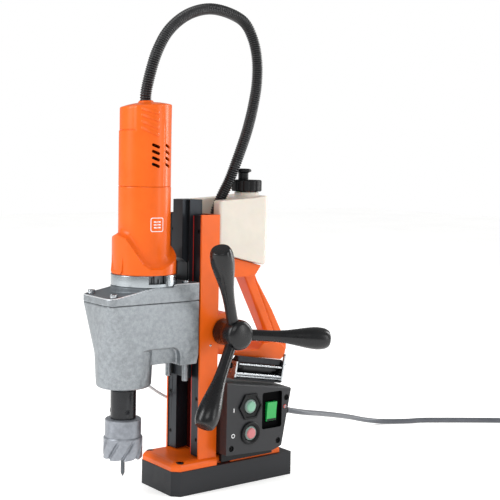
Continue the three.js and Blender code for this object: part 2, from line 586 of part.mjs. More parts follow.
// ---------------------------------------------------------------- strap ratchet
function strapRatchet() {
  const frame = placed(35.5, 37, 155.5);
  frame.rotation.x = -0.176;
  const { axis, plateIn, plateOut } = RATCHET;
  const side = [[-12.8, -13], [-10, -16], [10, -16], [12.8, -13], [12.8, 8], [-9, 8], [-12.8, 4]];
  const ear = [[9.4, 6], [12.8, 6], [12.8, 22], [11.6, 24.5], [9.4, 24.5]];
  const rod = (z, x, r) => bar('Y', r, -plateIn - 1, plateIn + 1, x, z, 12);
  let body = prism('Y', side, plateIn, plateOut).add(prism('Y', side, -plateOut, -plateIn));
  body = body.add(prism('Y', ear, plateIn, plateOut)).add(rod(-7.8, 11, 1.8)).add(rod(-11.3, 10.6, 1.6));
  body = body.subtract(bar('Y', 4.3, -50, 50, 0, axis, 16));
  body = body.add(bar('Y', 1.8, plateIn + 0.5, 45.5, 11, 10.4, 12)).add(bar('X', 0.9, 10, 14, -40.8, -7.8, 8));
  part('ratchet_frame', BRIGHT_STEEL, body, frame);
  const roll = bar('Y', 3.9, -44, 45.5, 0, axis, 16).add(bar('Y', 5.5, -34, 34, 0, axis, 20));
  const toothed = prism('Y', ratchetWheel(axis), 35.2, 37);
  part('ratchet_spool', BLACK_STEEL, roll.add(toothed).add(mirroredInY(toothed)), frame);
  const cheek = prism('Y', [[-5, -4], [5, -4], [13.6, 3.6], [13.6, 6.6], [9, 15.5], [4, 15.5], [-5, 5]],
    37.3, 39.2);
  const cheeks = cheek.add(mirroredInY(cheek)).subtract(bar('Y', 4.3, -50, 50, 0, axis, 16));
  const grip = block(4, 9, -38, 38, 8, 15.5).add(bar('Y', 1.3, -38, 38, 12, 5.2, 12));
  part('ratchet_lever', DARK_STEEL, cheeks.add(grip), frame);
}

const mirroredInY = (body) => body.mirror([0, 1, 0]);

function ratchetWheel(axis) {
  const teeth = 12;
  const outline = [];
  for (let k = 0; k < teeth; k += 1) {
    const at = (share, r) => {
      const a = ((k + share) * 2 * Math.PI) / teeth;
      outline.push([r * Math.cos(a), axis + r * Math.sin(a)]);
    };
    at(0, 5.6);
    at(0.9, 7.6);
  }
  return outline;
}

// ---------------------------------------------------------------- control box
/** The box's side view, [y, z]: the top slopes down to the back and the rear edge leans. */
function boxSide(inset = 0) {
  const c = inset;
  return [
    [-27.5 + c, 48.6 + c], [52, 45 + c], [66.5 - c, 49.5 + c],
    [82 - c, 128.2 - c], [-27.5 + c, 146.3 - c],
  ];
}

function controlBox() {
  const { inner, split, face } = BOX;
  const side = boxSide();
  const skirt = block(40.9, split, -24, 62, 36.5, 50);
  const shell = prism('X', side, inner, split).add(skirt)
    .subtract(prism('X', boxSide(3), inner + 3, split + 1));
  const leadHole = bar('Z', 6.8, -15, 5).rotate([-90 - LEAD.dip, 0, 0]).translate(LEAD.exit);
  part('control_housing', BLACK_PLASTIC, shell.subtract(leadHole));
  const bevel = prism('Y', [[face + 0.5, -1.8], [face - 1.8, 0.5], [face + 0.5, 0.5]], -20, 130);
  let panel = prism('X', side, split + GAP, face);
  panel = panel.subtract(bevel.rotate([-9.39, 0, 0]).translate([0, -27.5, 146.3]));
  const recess = prism('X', roundedRectangle(32, 66, 76, 126, 3), face - 6, face + 1);
  const hollow = prism('X', boxSide(6), split - 1, face - 8);
  const holes = [bar('X', 10.2, 40, 70, 11.2, 110.8), bar('X', 10.2, 40, 70, 12.1, 74.3),
    prism('X', roundedRectangle(41, 60, 83.5, 113, 2), 40, 70), bar('X', 2.9, 40, 70, 71.6, 103.1, 16)];
  panel = panel.subtract(recess).subtract(hollow);
  for (const hole of holes) panel = panel.subtract(hole);
  for (const [y, z] of [[-19, 57], [60.4, 57.3], [73.6, 115.4]]) {
    panel = panel.subtract(bar('X', 3.2, face - 5, face + 1, y, z, 16));
  }
  part('control_panel', BLACK_PLASTIC, panel);
}

function controls() {
  const { face } = BOX;
  const hex = circle(11.2, 110.8, 19.5, 6);
  part('start_bezel', BLACK_PLASTIC, prism('X', hex, face + GAP, face + 3)
    .subtract(bar('X', 10.3, face, face + 4, 11.2, 110.8)));
  part('stop_bezel', BLACK_PLASTIC, bar('X', 15.6, face + GAP, face + 3, 12.1, 74.3, 32)
    .subtract(bar('X', 10.3, face, face + 4, 12.1, 74.3)));
  const button = (y, z) => bar('X', 9.6, face - 7, face + 4.5, y, z);
  part('start_button', GREEN, button(11.2, 110.8));
  part('stop_button', RED, button(12.1, 74.3));
  const rockerSide = (z0, z1) => [[face - 6.5, z0], [face - 3.4, z0], [face - 2.2, (z0 + z1) / 2],
    [face - 0.8, z1], [face - 6.5, z1]];
  part('magnet_rocker', GREEN, prism('Y', rockerSide(85, 111.5), 42.3, 58.7));
  part('indicator_lens', RED, bar('X', 2.6, face - 8, face + 0.8, 71.6, 103.1, 16));
  const board = block(28, 29.6, -18, 58, 62, 128);
  const module = block(29, 40, -8, 20, 80, 112).add(block(29, 37, 30, 50, 70, 92));
  const relay = block(29, 43, -10, 8, 66, 76);
  part('circuit_board', BOARD, board.add(module).add(relay));
}

// ---------------------------------------------------------------- flexible lines
/** The cable conduit loops from the motor's top into the channel behind the column. */
const CONDUIT = [[0, -120, 509], [0, -120, 520], [0, -114, 546], [0, -103, 577], [0, -86, 604],
  [0, -58, 626], [0, -23, 637], [0, 12, 634], [0, 36, 624], [1, 49, 605], [3, 55.7, 578],
  [5, 55, 545], [9, 46, 511], [15, 32, 478], [18, 20.8, 455], [18.5, 11, 433], [16, 2.3, 410],
  [13, -7.6, 389], [10, -14, 369], [9, -15.5, 348]];

/** The coolant hose runs down the column's left side and forward to the spindle housing. */
const HOSE = [[-30, -20, 291.5], [-31, -21, 284], [-38, -24, 262], [-44.5, -28, 232], [-47, -31, 190],
  [-48, -33, 150], [-48, -37, 122], [-46.5, -45, 111.5], [-43, -54, 111.5], [-39.5, -62, 115.5],
  [-35.5, -75, 123], [-32, -88, 131.5], [-28.5, -100, 140], [-26.7, -108, 147], [-26.5, -111, 152.2]];

/** The mains lead leaves the box, sinks to the floor, runs back and curves into its coil. */
const LEAD_ROUTE = [[20, 94.3, 87.7], [20, 110, 84.7], [19, 122, 81.6], [16, 140, 77],
  [8, 161, 71.5], [-7, 189, 64], [-38, 251, 47], [-70, 317, 28], [-89, 371, 12], [-90, 402, 5.4],
  [-81, 423, 4.1], [-67, 449, 4.1], [-59, 472, 4.1], [-42, 500, 4.1], [-23, 529, 4.1],
  [-4, 557, 4.1], [15, 584, 4.1], [30, 604, 4.1], [45, 621, 4.1], [56, 630, 4.1]];

function flexibleLines() {
  part('cable_conduit', BLACK_PLASTIC, tube(CONDUIT, 7.5, 36, 10));
  const foot = block(0, 18, COLUMN.back + GAP, -16, 334, 352);
  const socket = bar('Z', 10.8, 333, 356, 9, -15.5).add(foot);
  part('conduit_socket', ORANGE, socket.subtract(bar('Z', 8.4, 338, 360, 9, -15.5)));
  part('coolant_hose', GREY_PLASTIC, tube(HOSE, 2, 36, 8));
}

function mainsLead() {
  const relief = placed(...LEAD.exit);
  relief.rotation.x = THREE.MathUtils.degToRad(-90 - LEAD.dip);
  const taper = turned([[4.3, -10], [6.4, -10], [6.4, 1.4], [9.5, 1.4], [9.5, 6], [8, 8], [6, 34],
    [4.3, 34], [4.3, -10]], 24);
  part('lead_gland', BLACK_RUBBER, taper, relief);
  part('mains_lead', CORD_GREY, tube(LEAD_ROUTE, LEAD.radius, 52, 8));
  const coil = ring(COIL.mean + COIL.half, COIL.mean - COIL.half, 0.1, COIL.height, 32);
  part('lead_coil', CORD_GREY, coil.translate([COIL.x, COIL.y, 0]));
  const plug = placed(PLUG.x, PLUG.y, PLUG.z);
  plug.rotation.x = Math.PI / 2;
  const body = turned([[0, 0], [5.2, 0], [7, 10], [9.5, 20], [18, 26], [19.2, 30], [19.2, 48],
    [0, 48]], 28);
  const prong = (x) => bar('Z', 2.4, 47, 66, x, 0, 12);
  part('mains_plug', BLACK_RUBBER, body.add(prong(-9.5)).add(prong(9.5)), plug);
}

// ---------------------------------------------------------------- assembly
magnetFoot();
columnFrame();
rails();
part('slide_bar', DARK_STEEL, slideBar());
part('feed_rack', BRIGHT_STEEL, rackBar());
part('gear_housing', CAST, gearHousing());
part('gear_cover', CAST, gearCover());
motorParts();
gearTrain();
toolParts();
capstan();
coolantTank();
part('carry_handle', ORANGE, carryHandle());
strapRatchet();
controlBox();
controls();
flexibleLines();
mainsLead();

export default machine;
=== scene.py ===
"""Looks of the magnetic drill press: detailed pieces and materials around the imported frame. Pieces
are drawn in millimetres and become metres when a mesh is made."""

import math

import bpy
import bmesh
import numpy as np
from mathutils import Matrix, Vector


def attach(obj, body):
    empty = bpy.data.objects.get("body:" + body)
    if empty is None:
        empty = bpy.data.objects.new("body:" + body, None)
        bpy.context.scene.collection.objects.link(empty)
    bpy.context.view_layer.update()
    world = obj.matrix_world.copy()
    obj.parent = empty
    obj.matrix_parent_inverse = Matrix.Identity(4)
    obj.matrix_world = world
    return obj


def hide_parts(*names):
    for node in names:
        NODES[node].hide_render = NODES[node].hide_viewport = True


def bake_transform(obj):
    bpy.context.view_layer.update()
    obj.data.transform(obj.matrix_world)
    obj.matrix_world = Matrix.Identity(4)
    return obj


MM = 0.001
TAU = 2 * math.pi
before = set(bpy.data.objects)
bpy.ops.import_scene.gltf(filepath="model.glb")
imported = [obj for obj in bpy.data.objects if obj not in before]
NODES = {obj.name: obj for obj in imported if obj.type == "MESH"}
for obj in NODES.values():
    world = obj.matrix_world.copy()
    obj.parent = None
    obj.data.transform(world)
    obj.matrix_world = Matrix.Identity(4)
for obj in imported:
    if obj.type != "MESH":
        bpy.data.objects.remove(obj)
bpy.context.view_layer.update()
scene = bpy.context.scene


# ---- camera
AZIMUTH, ROLL = math.radians(52.36), math.radians(1.13)
CAMERA_PLACE, CAMERA_AIM = (1.17458, -0.85309, 0.44314), (-0.78893, 0.60837, -0.08650)


def add_camera():
    forward = Vector(CAMERA_AIM).normalized()
    level = Vector((math.cos(AZIMUTH), math.sin(AZIMUTH), 0))
    above = level.cross(forward)
    right = level * math.cos(ROLL) + above * math.sin(ROLL)
    up = above * math.cos(ROLL) - level * math.sin(ROLL)
    data = bpy.data.cameras.new("camera")
    data.lens, data.sensor_width = 77.09, 36
    data.clip_start, data.clip_end = 0.01, 50
    camera = bpy.data.objects.new("camera", data)
    turn = Matrix((right, up, -forward)).transposed().to_4x4()
    camera.matrix_world = Matrix.Translation(CAMERA_PLACE) @ turn
    scene.collection.objects.link(camera)
    scene.camera = camera


add_camera()


# ---- materials
def linear(hex_color):
    """A colour as it looks on a screen, as the shader's linear values."""
    parts = [int(hex_color[i:i + 2], 16) / 255 for i in (1, 3, 5)]
    curve = [p / 12.92 if p <= 0.04045 else ((p + 0.055) / 1.055) ** 2.4 for p in parts]
    return (*curve, 1)


def scaled(color, factor):
    return (*[min(1, c * factor) for c in color[:3]], 1)


def set_inputs(node, **values):
    """Sets a node's inputs; an underscore stands for the space in an input's name."""
    for name, value in values.items():
        node.inputs[name.replace("_", " ")].default_value = value
    return node


def surface(name, color, roughness, metallic=0.0, spread=0.08, patch=45, grain=900, bump=0.1,
            depth=0.12, stretch=(1, 1, 1), coat=0.0, rough_spread=0.08, wear=None, detail=3,
            subsurface=0.0, specks=0.0, specular=0.5):
    """A finish whose colour and roughness vary in patches, with a fine grain as relief."""
    material = bpy.data.materials.new(name)
    material.use_nodes = True
    nodes, links = material.node_tree.nodes, material.node_tree.links
    shader = set_inputs(nodes["Principled BSDF"], Metallic=metallic, Coat_Weight=coat,
                        Specular_IOR_Level=specular, Coat_Roughness=0.2)
    if subsurface:
        set_inputs(shader, Subsurface_Weight=subsurface, Subsurface_Scale=0.004)
    place = nodes.new("ShaderNodeTexCoord")
    mapping = set_inputs(nodes.new("ShaderNodeMapping"), Scale=stretch)
    links.new(place.outputs["Object"], mapping.inputs["Vector"])

    def noise(scale, octaves):
        node = set_inputs(nodes.new("ShaderNodeTexNoise"), Scale=scale, Detail=octaves,
                          Roughness=0.6)
        links.new(mapping.outputs["Vector"], node.inputs["Vector"])
        return node.outputs["Fac"]

    def remap(value, low, high, start=0.25, end=0.75):
        node = set_inputs(nodes.new("ShaderNodeMapRange"), From_Min=start, From_Max=end,
                          To_Min=low, To_Max=high)
        links.new(value, node.inputs["Value"])
        return node.outputs["Result"]

    def mix(factor, first, second):
        node = nodes.new("ShaderNodeMix")
        node.data_type = "RGBA"
        for place, value in ((0, factor), (6, first), (7, second)):
            if isinstance(value, bpy.types.NodeSocket):
                links.new(value, node.inputs[place])
            else:
                node.inputs[place].default_value = value
        return node.outputs[2]

    base = linear(color)
    patches, fine = noise(patch, detail), noise(grain, 2)
    tint = mix(remap(patches, 0, 1, 0.35, 0.65), scaled(base, 1 - spread), scaled(base, 1 + spread))
    if specks:
        tint = mix(remap(fine, 0, 1, 0.5, 0.75), tint, scaled(base, 1 - specks))
    if wear:
        edges = nodes.new("ShaderNodeNewGeometry").outputs["Pointiness"]
        tint = mix(remap(edges, 0, 0.7, 0.53, 0.62), tint, linear(wear))
    links.new(tint, shader.inputs["Base Color"])
    low, high = max(0.03, roughness - rough_spread), min(1, roughness + rough_spread)
    links.new(remap(patches, low, high), shader.inputs["Roughness"])
    relief = set_inputs(nodes.new("ShaderNodeBump"), Strength=bump, Distance=depth * MM)
    links.new(fine, relief.inputs["Height"])
    links.new(relief.outputs["Normal"], shader.inputs["Normal"])
    return material


ORANGE = surface("orange_paint", "#dd5c0e", 0.34, spread=0.05, patch=30, grain=700, bump=0.06,
                 coat=0.08, rough_spread=0.05, specular=0.25)
CAST = surface("cast_aluminium", "#94999d", 0.4, 0.8, spread=0.2, patch=170, grain=1100,
               bump=0.45, depth=0.25, rough_spread=0.12, detail=6, specks=0.3)
# Painted shade: a darker copy of the cast aluminium for the lid's upward face.
CAST_TOP_SHADE = surface("cast_aluminium_top_shade", "#70767b", 0.5, 0.6, spread=0.14, patch=220,
                    grain=1100, bump=0.4, depth=0.25, detail=5, specks=0.3)
RAIL = surface("rail_steel", "#24282e", 0.4, 0.5, spread=0.15, patch=160, grain=1500, bump=0.15,
               stretch=(1, 1, 0.06), rough_spread=0.1)
SLIDE = surface("slide_steel", "#2b2f34", 0.36, 0.6, spread=0.15, patch=190, grain=1700,
                bump=0.15, stretch=(1, 1, 0.04), rough_spread=0.1)
MAGNET = surface("magnet_black", "#0c0d0f", 0.45, spread=0.15, patch=90, grain=1200, bump=0.2,
                 depth=0.2, wear="#303134", specular=0.2)
BRIGHT = surface("bright_steel", "#b9bdc1", 0.24, 1.0, spread=0.06, patch=120, grain=2200,
                 bump=0.08, stretch=(0.2, 0.2, 1))
BLUED = surface("blued_steel", "#1e1f22", 0.3, 0.55, spread=0.2, patch=110, grain=1800, coat=0.2,
                wear="#6d7074")
SCREW = surface("black_screw", "#2b2c2f", 0.35, 0.8, spread=0.15, patch=200, grain=2500)
PLASTIC = surface("black_plastic", "#0c0d0f", 0.42, spread=0.1, patch=70, grain=2600, bump=0.18,
                  depth=0.08, rough_spread=0.06, specular=0.25)
PANEL = surface("panel_plastic", "#202124", 0.44, patch=60, grain=2800, bump=0.22, depth=0.08,
                rough_spread=0.05, specular=0.4)
GRIP = surface("lever_plastic", "#0c0d0f", 0.28, spread=0.1, patch=55, grain=2400, depth=0.06,
               coat=0.12, specular=0.35)
RUBBER = surface("black_rubber", "#1f2022", 0.6, spread=0.1, patch=80, grain=2600, bump=0.25,
                 depth=0.1)
CORD = surface("cord_sheath", "#53565c", 0.4, spread=0.1, patch=60, grain=2600, bump=0.15,
               depth=0.1)
CONDUIT_BLACK = surface("conduit_plastic", "#17181a", 0.34, spread=0.12, patch=90, grain=2400,
                        depth=0.05, coat=0.15)
HOSE_GREY = surface("hose_plastic", "#e6e8e9", 0.35, spread=0.05, patch=90, grain=2400, bump=0.08)
TANK = surface("tank_plastic", "#cfc7bb", 0.38, spread=0.04, patch=25, grain=1500, bump=0.08,
               subsurface=0.25, rough_spread=0.05)
CUTTER = surface("cutter_steel", "#8b8f96", 0.4, 0.6, spread=0.14, patch=150, grain=1900,
                 bump=0.2, wear="#c9ccd0")
RED = surface("red_plastic", "#d8433a", 0.3, spread=0.05, patch=60, grain=2200, bump=0.06,
              coat=0.3)
MARK = surface("mark_paint", "#dfe1e2", 0.5, spread=0.05, patch=90, grain=2400)
BADGE = surface("badge_metal", "#7d8286", 0.4, 0.4, spread=0.1, patch=120, grain=2200)
BRONZE = surface("bronze", "#b08a4a", 0.35, 0.95, spread=0.12, patch=140, grain=2000)
COPPER = surface("copper_winding", "#b4622d", 0.35, 0.9, spread=0.15, patch=120, grain=700,
                 bump=0.5, depth=0.3, stretch=(0.2, 0.2, 1))
BOARD = surface("circuit_board", "#1f6b45", 0.45, spread=0.15, patch=150, grain=1800, bump=0.2)
GEAR = surface("gear_steel", "#5b5f63", 0.33, 0.9, spread=0.12, patch=130, grain=2100)
COLLAR = surface("machined_aluminium", "#a4aaae", 0.24, 0.95, spread=0.06, patch=60, grain=1800,
                 bump=0.06, stretch=(0.3, 0.3, 1))
RATCHET = surface("ratchet_zinc", "#b6babd", 0.28, 0.95, patch=110, grain=2100)
GREEN_KEY, RED_KEY, PALE_GREEN = (
    surface(name, color, roughness, patch=50, grain=2200, bump=0.05, coat=0.2)
    for name, color, roughness in (("green_key", "#12a046", 0.26), ("red_key", "#b86a6c", 0.28),
                                   ("pale_green_key", "#74a68c", 0.3)))
KEY_RING = surface("key_ring", "#6d7f79", 0.35, spread=0.1, patch=60, grain=2200, bump=0.06)
# Painted shade: a dark red for the orange channel web that lies in shade behind the rails.
CHANNEL_SHADE_RED = surface("painted_channel_shade", "#4a0f08", 0.6, spread=0.15, patch=40, grain=700, bump=0.06,
                   specular=0.2)
# Painted highlight: a bright line along the upper edge of the lid's rim.
RIM_HIGHLIGHT = surface("painted_rim_highlight", "#dfe3e6", 0.4, 0.6, spread=0.06, patch=120, grain=1400)
PIT = surface("shaded_black", "#040405", 0.7, spread=0.2, patch=80, grain=1800, specular=0.05)
RAIL_SCREW = surface("rail_screw_black", "#060607", 0.5, spread=0.2, patch=120, grain=2200,
                     specular=0.2)
# Painted shade: a red for the gib strip, the shaded orange wall seen beside the right rail.
GIB_SHADE_RED = surface("painted_shade_strip", "#c92a20", 0.5, spread=0.12, patch=60, bump=0.06)


# ---- mesh tools
def clamp(value):
    return min(1, max(0, value))


def make(name, points, faces, material):
    """A piece from points in millimetres, with its faces all looking outwards."""
    mesh = bpy.data.meshes.new(name)
    mesh.from_pydata([[c * MM for c in p] for p in points], [], faces)
    mesh.validate()
    piece = bpy.data.objects.new(name, mesh)
    scene.collection.objects.link(piece)
    if material:
        mesh.materials.append(material)
    work = bmesh.new()
    work.from_mesh(mesh)
    bmesh.ops.recalc_face_normals(work, faces=work.faces)
    work.to_mesh(mesh)
    work.free()
    return piece


def paint(piece, *materials):
    """Gives the piece these materials and no others."""
    piece.data.materials.clear()
    for material in materials:
        piece.data.materials.append(material)
    return piece


def modify(piece, name, kind, **settings):
    modifier = piece.modifiers.new(name, kind)
    for key, value in settings.items():
        setattr(modifier, key, value)


def apply_modifiers(piece):
    graph = bpy.context.evaluated_depsgraph_get()
    mesh = bpy.data.meshes.new_from_object(piece.evaluated_get(graph))
    piece.modifiers.clear()
    piece.data = mesh
    return piece


def smooth(piece, angle=35):
    piece.data.polygons.foreach_set("use_smooth", [True] * len(piece.data.polygons))
    piece.data.set_sharp_from_angle(angle=math.radians(angle))
    return piece


def bevel(piece, width, segments=3, angle=35):
    """Rounds the sharp edges, then shades flats flat."""
    modify(piece, "bevel", "BEVEL", width=width * MM, segments=segments, limit_method="ANGLE",
           angle_limit=math.radians(angle), miter_outer="MITER_ARC", harden_normals=False)
    apply_modifiers(piece)
    smooth(piece, 45)
    return weighted(piece)


def weighted(piece):
    modify(piece, "normals", "WEIGHTED_NORMAL", keep_sharp=True, weight=80)
    return piece


def combine(piece, others, operation):
    """Adds, cuts or keeps the common part, and removes the other solids."""
    for other in others:
        modify(piece, "solid", "BOOLEAN", operation=operation, solver="EXACT", object=other)
    apply_modifiers(piece)
    for other in others:
        bpy.data.objects.remove(other)
    return piece


def add(piece, *others):
    return combine(piece, others, "UNION")


def cut(piece, *others):
    return combine(piece, others, "DIFFERENCE")


def cast(piece, voxel, rounds, factor=0.5):
    """Turns a solid with hard corners into a casting: every edge and corner gets a soft fillet."""
    modify(piece, "skin", "REMESH", mode="VOXEL", voxel_size=voxel * MM, use_smooth_shade=True)
    modify(piece, "soften", "SMOOTH", factor=factor, iterations=rounds)
    apply_modifiers(piece)
    return smooth(piece, 60)


def prism(name, axis, outline, low, high, material=None):
    """[y, z] points for X, [x, z] for Y and [x, y] for Z, between two places on the axis."""
    def place(u, v, w):
        return {"X": (w, u, v), "Y": (u, w, v), "Z": (u, v, w)}[axis]
    count = len(outline)
    points = [place(u, v, low) for u, v in outline] + [place(u, v, high) for u, v in outline]
    faces = [tuple(range(count)), tuple(range(2 * count - 1, count - 1, -1))]
    faces += [(k, (k + 1) % count, count + (k + 1) % count, count + k) for k in range(count)]
    return make(name, points, faces, material)


def block(name, x0, x1, y0, y1, z0, z1, material=None):
    return prism(name, "Z", [(x0, y0), (x1, y0), (x1, y1), (x0, y1)], z0, z1, material)


def circle(u, v, radius, count):
    return [(u + radius * math.cos(TAU * k / count), v + radius * math.sin(TAU * k / count))
            for k in range(count)]


def ring_at(radius, z, steps):
    """Points round the Z axis; the radius may be a function of the angle."""
    ring = []
    for k in range(steps):
        angle = TAU * k / steps
        r = radius(angle) if callable(radius) else radius
        ring.append((r * math.cos(angle), r * math.sin(angle), z))
    return ring


def rounded(corners, steps=6):
    """A closed outline from (u, v, radius) corners."""
    outline = []
    count = len(corners)
    for k, (u, v, radius) in enumerate(corners):
        here = Vector((u, v))
        if radius <= 0:
            outline.append((u, v))
            continue
        before = Vector(corners[k - 1][:2]) - here
        after = Vector(corners[(k + 1) % count][:2]) - here
        half = before.angle(after) / 2
        reach = min(radius / math.tan(half), before.length * 0.49, after.length * 0.49)
        radius = reach * math.tan(half)
        start, end = here + before.normalized() * reach, here + after.normalized() * reach
        centre = here + (before.normalized() + after.normalized()).normalized() * (
            radius / math.sin(half))
        a, b = start - centre, end - centre
        sweep = a.angle_signed(b)
        for s in range(steps + 1):
            arm = a.copy()
            arm.rotate(Matrix.Rotation(-sweep * s / steps, 2))
            outline.append(tuple(centre + arm))
    return outline


def rectangle(u0, u1, v0, v1, radius, steps=6):
    return rounded([(u0, v0, radius), (u1, v0, radius), (u1, v1, radius), (u0, v1, radius)], steps)


def loft(name, rings, material=None, closed=False):
    """A skin through rings of points; the ends are capped unless the rings close on themselves."""
    count = len(rings[0])
    points = [p for ring in rings for p in ring]
    faces = []
    spans = len(rings) if closed else len(rings) - 1
    for s in range(spans):
        a, b = s * count, ((s + 1) % len(rings)) * count
        faces += [(a + k, a + (k + 1) % count, b + (k + 1) % count, b + k) for k in range(count)]
    if not closed:
        faces.append(tuple(range(count)))
        faces.append(tuple(range(len(points) - 1, len(points) - count - 1, -1)))
    return make(name, points, faces, material)


def turned(name, profile, material=None, steps=96, shape=None):
    """A [radius, height] profile turned about Z. A profile that starts and ends on the axis is
    closed there, and any other closes on itself. shape(radius, height, angle) may bend it."""
    on_axis = profile[0][0] == 0 and profile[-1][0] == 0
    inner = profile[1:-1] if on_axis else profile
    points, faces = [], []
    for r, h in inner:
        for k in range(steps):
            angle = TAU * k / steps
            rr, hh = shape(r, h, angle) if shape else (r, h)
            points.append((rr * math.cos(angle), rr * math.sin(angle), hh))
    rows = len(inner)
    for s in range(rows - 1 if on_axis else rows):
        a, b = s * steps, ((s + 1) % rows) * steps
        faces += [(a + k, a + (k + 1) % steps, b + (k + 1) % steps, b + k) for k in range(steps)]
    if on_axis:
        points += [(0, 0, profile[0][1]), (0, 0, profile[-1][1])]
        low, high = len(points) - 2, len(points) - 1
        top = (rows - 1) * steps
        faces += [(low, (k + 1) % steps, k) for k in range(steps)]
        faces += [(high, top + k, top + (k + 1) % steps) for k in range(steps)]
    return make(name, points, faces, material)


def softened(profile, radius, steps=4):
    """The profile with its corners rounded; a corner on the axis stays."""
    out = []
    for k, (r, h) in enumerate(profile):
        if k in (0, len(profile) - 1) or r == 0:
            out.append((r, h))
            continue
        here = Vector((r, h))
        before, after = Vector(profile[k - 1]) - here, Vector(profile[k + 1]) - here
        if before.angle(after) > 2.9:
            out.append((r, h))
            continue
        reach = min(radius, before.length * 0.45, after.length * 0.45)
        start, end = here + before.normalized() * reach, here + after.normalized() * reach
        for s in range(steps + 1):
            t = s / steps
            out.append(tuple(start * (1 - t) ** 2 + here * 2 * t * (1 - t) + end * t * t))
    return out


def moved(piece, matrix):
    piece.data.transform(matrix)
    return piece


def shifted(piece, x, y, z):
    return moved(piece, Matrix.Translation((x * MM, y * MM, z * MM)))


def turn_about(axis, degrees):
    return Matrix.Rotation(math.radians(degrees), 4, axis)


def joined(name, pieces):
    """One object out of several loose ones."""
    work = bmesh.new()
    materials = []
    for piece in pieces:
        graph = bpy.context.evaluated_depsgraph_get()
        mesh = bpy.data.meshes.new_from_object(piece.evaluated_get(graph))
        slots = []
        for material in mesh.materials:
            if material not in materials:
                materials.append(material)
            slots.append(materials.index(material))
        for polygon in mesh.polygons:
            polygon.material_index = slots[polygon.material_index] if slots else 0
        work.from_mesh(mesh)
        bpy.data.objects.remove(piece)
    mesh = bpy.data.meshes.new(name)
    work.to_mesh(mesh)
    work.free()
    for material in materials:
        mesh.materials.append(material)
    result = bpy.data.objects.new(name, mesh)
    scene.collection.objects.link(result)
    return result


def settle(piece, body, *nodes, slot=None, name=None):
    """The piece rides on a body and stands for the named nodes."""
    if name:
        piece.name = name
    if nodes:
        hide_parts(*nodes)
    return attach(piece, body)


def dress(node, material, width=0.0, segments=2):
    """A carried-over node gets its finish and soft edges; its own points stay."""
    piece = NODES[node]
    paint(piece, material)
    if width:
        modify(piece, "flats", "DECIMATE", decimate_type="DISSOLVE", angle_limit=math.radians(1.5))
        modify(piece, "edges", "BEVEL", width=width * MM, segments=segments, limit_method="ANGLE",
               angle_limit=math.radians(38), use_clamp_overlap=True)
    smooth(piece, 38)
    if width:
        weighted(piece)
    return piece


# ---- smooth lines
def smooth_line(points, step=3.0):
    """A Catmull-Rom curve through the points, sampled at even distances."""
    p = [Vector(q) for q in points]
    p = [p[0] * 2 - p[1]] + p + [p[-1] * 2 - p[-2]]
    dense = []
    for k in range(1, len(p) - 2):
        a, b, c, d = p[k - 1:k + 3]
        t = [0.0]
        for u, v in ((a, b), (b, c), (c, d)):
            t.append(t[-1] + max(1e-6, (v - u).length) ** 0.5)
        for s in range(24):
            x = t[1] + (t[2] - t[1]) * s / 24
            def lerp(u, v, i, j):
                return u * ((t[j] - x) / (t[j] - t[i])) + v * ((x - t[i]) / (t[j] - t[i]))
            ab, bc, cd = lerp(a, b, 0, 1), lerp(b, c, 1, 2), lerp(c, d, 2, 3)
            dense.append(lerp(lerp(ab, bc, 0, 2), lerp(bc, cd, 1, 3), 1, 2))
    dense.append(p[-2])
    lengths = np.cumsum([0] + [(dense[k + 1] - dense[k]).length for k in range(len(dense) - 1)])
    total = float(lengths[-1])
    count = max(2, int(round(total / step)))
    table = np.array([list(q) for q in dense])
    at = np.linspace(0, total, count + 1)
    return np.stack([np.interp(at, lengths, table[:, i]) for i in range(3)], axis=1), total


def swept(name, line, radius_at, sides, material):
    """A tube along sampled points; radius_at gives the radius at each sample."""
    tangents = np.gradient(line, axis=0)
    tangents /= np.linalg.norm(tangents, axis=1)[:, None]
    normal = np.cross(tangents[0], [1.0, 0.0, 0.0])
    if np.linalg.norm(normal) < 0.1:
        normal = np.cross(tangents[0], [0.0, 1.0, 0.0])
    normal /= np.linalg.norm(normal)
    rings = []
    for k, (point, tangent) in enumerate(zip(line, tangents)):
        normal = normal - tangent * np.dot(normal, tangent)
        normal /= np.linalg.norm(normal)
        side = np.cross(tangent, normal)
        r = radius_at(k)
        rings.append([tuple(point + r * (math.cos(a) * normal + math.sin(a) * side))
                      for a in np.linspace(0, TAU, sides, endpoint=False)])
    return loft(name, rings, material)


# ---- free lines
LEAD_EXIT = Vector((20, 74.6, 91.4))
LEAD_AIM = Vector((0, math.cos(math.radians(10.7)), -math.sin(math.radians(10.7))))
LEAD_ROUTE = [(20, 94.3, 87.7), (20, 110, 84.7), (19, 122, 81.6), (16, 140, 77), (8, 161, 71.5),
              (-7, 189, 64), (-38, 251, 47), (-70, 317, 28), (-89, 371, 12), (-90, 402, 5.4),
              (-81, 423, 4.1), (-67, 449, 4.1), (-59, 472, 4.1), (-42, 500, 4.1),
              (-23, 529, 4.1), (-4, 557, 4.1), (15, 584, 4.1), (31, 604, 4.1), (49, 620, 4.1),
              (69, 632, 4.1)]
COIL = Vector((112, 584, 0))
PLUG_PLACE = (200, 562, 19.6)


def coil_points():
    """Turns that close in on the ground, then open out again in a second layer."""
    radii = [60, 52, 44, 36, 36, 44, 52, 60]
    points = []
    for degrees in range(0, 360 * 7 + 65, 12):
        turn, part = divmod(degrees, 360)
        share = clamp((part - 265) / 70)
        share = share * share * (3 - 2 * share)
        radius = radii[turn]
        if turn < 7:
            radius += (radii[turn + 1] - radius) * share
        rise = 0 if turn < 3 else share if turn == 3 else 1
        height = 4.1 + 8.1 * rise
        angle = math.radians(110 - degrees)
        points.append((COIL.x + radius * math.cos(angle), COIL.y + radius * math.sin(angle),
                       height))
    return points


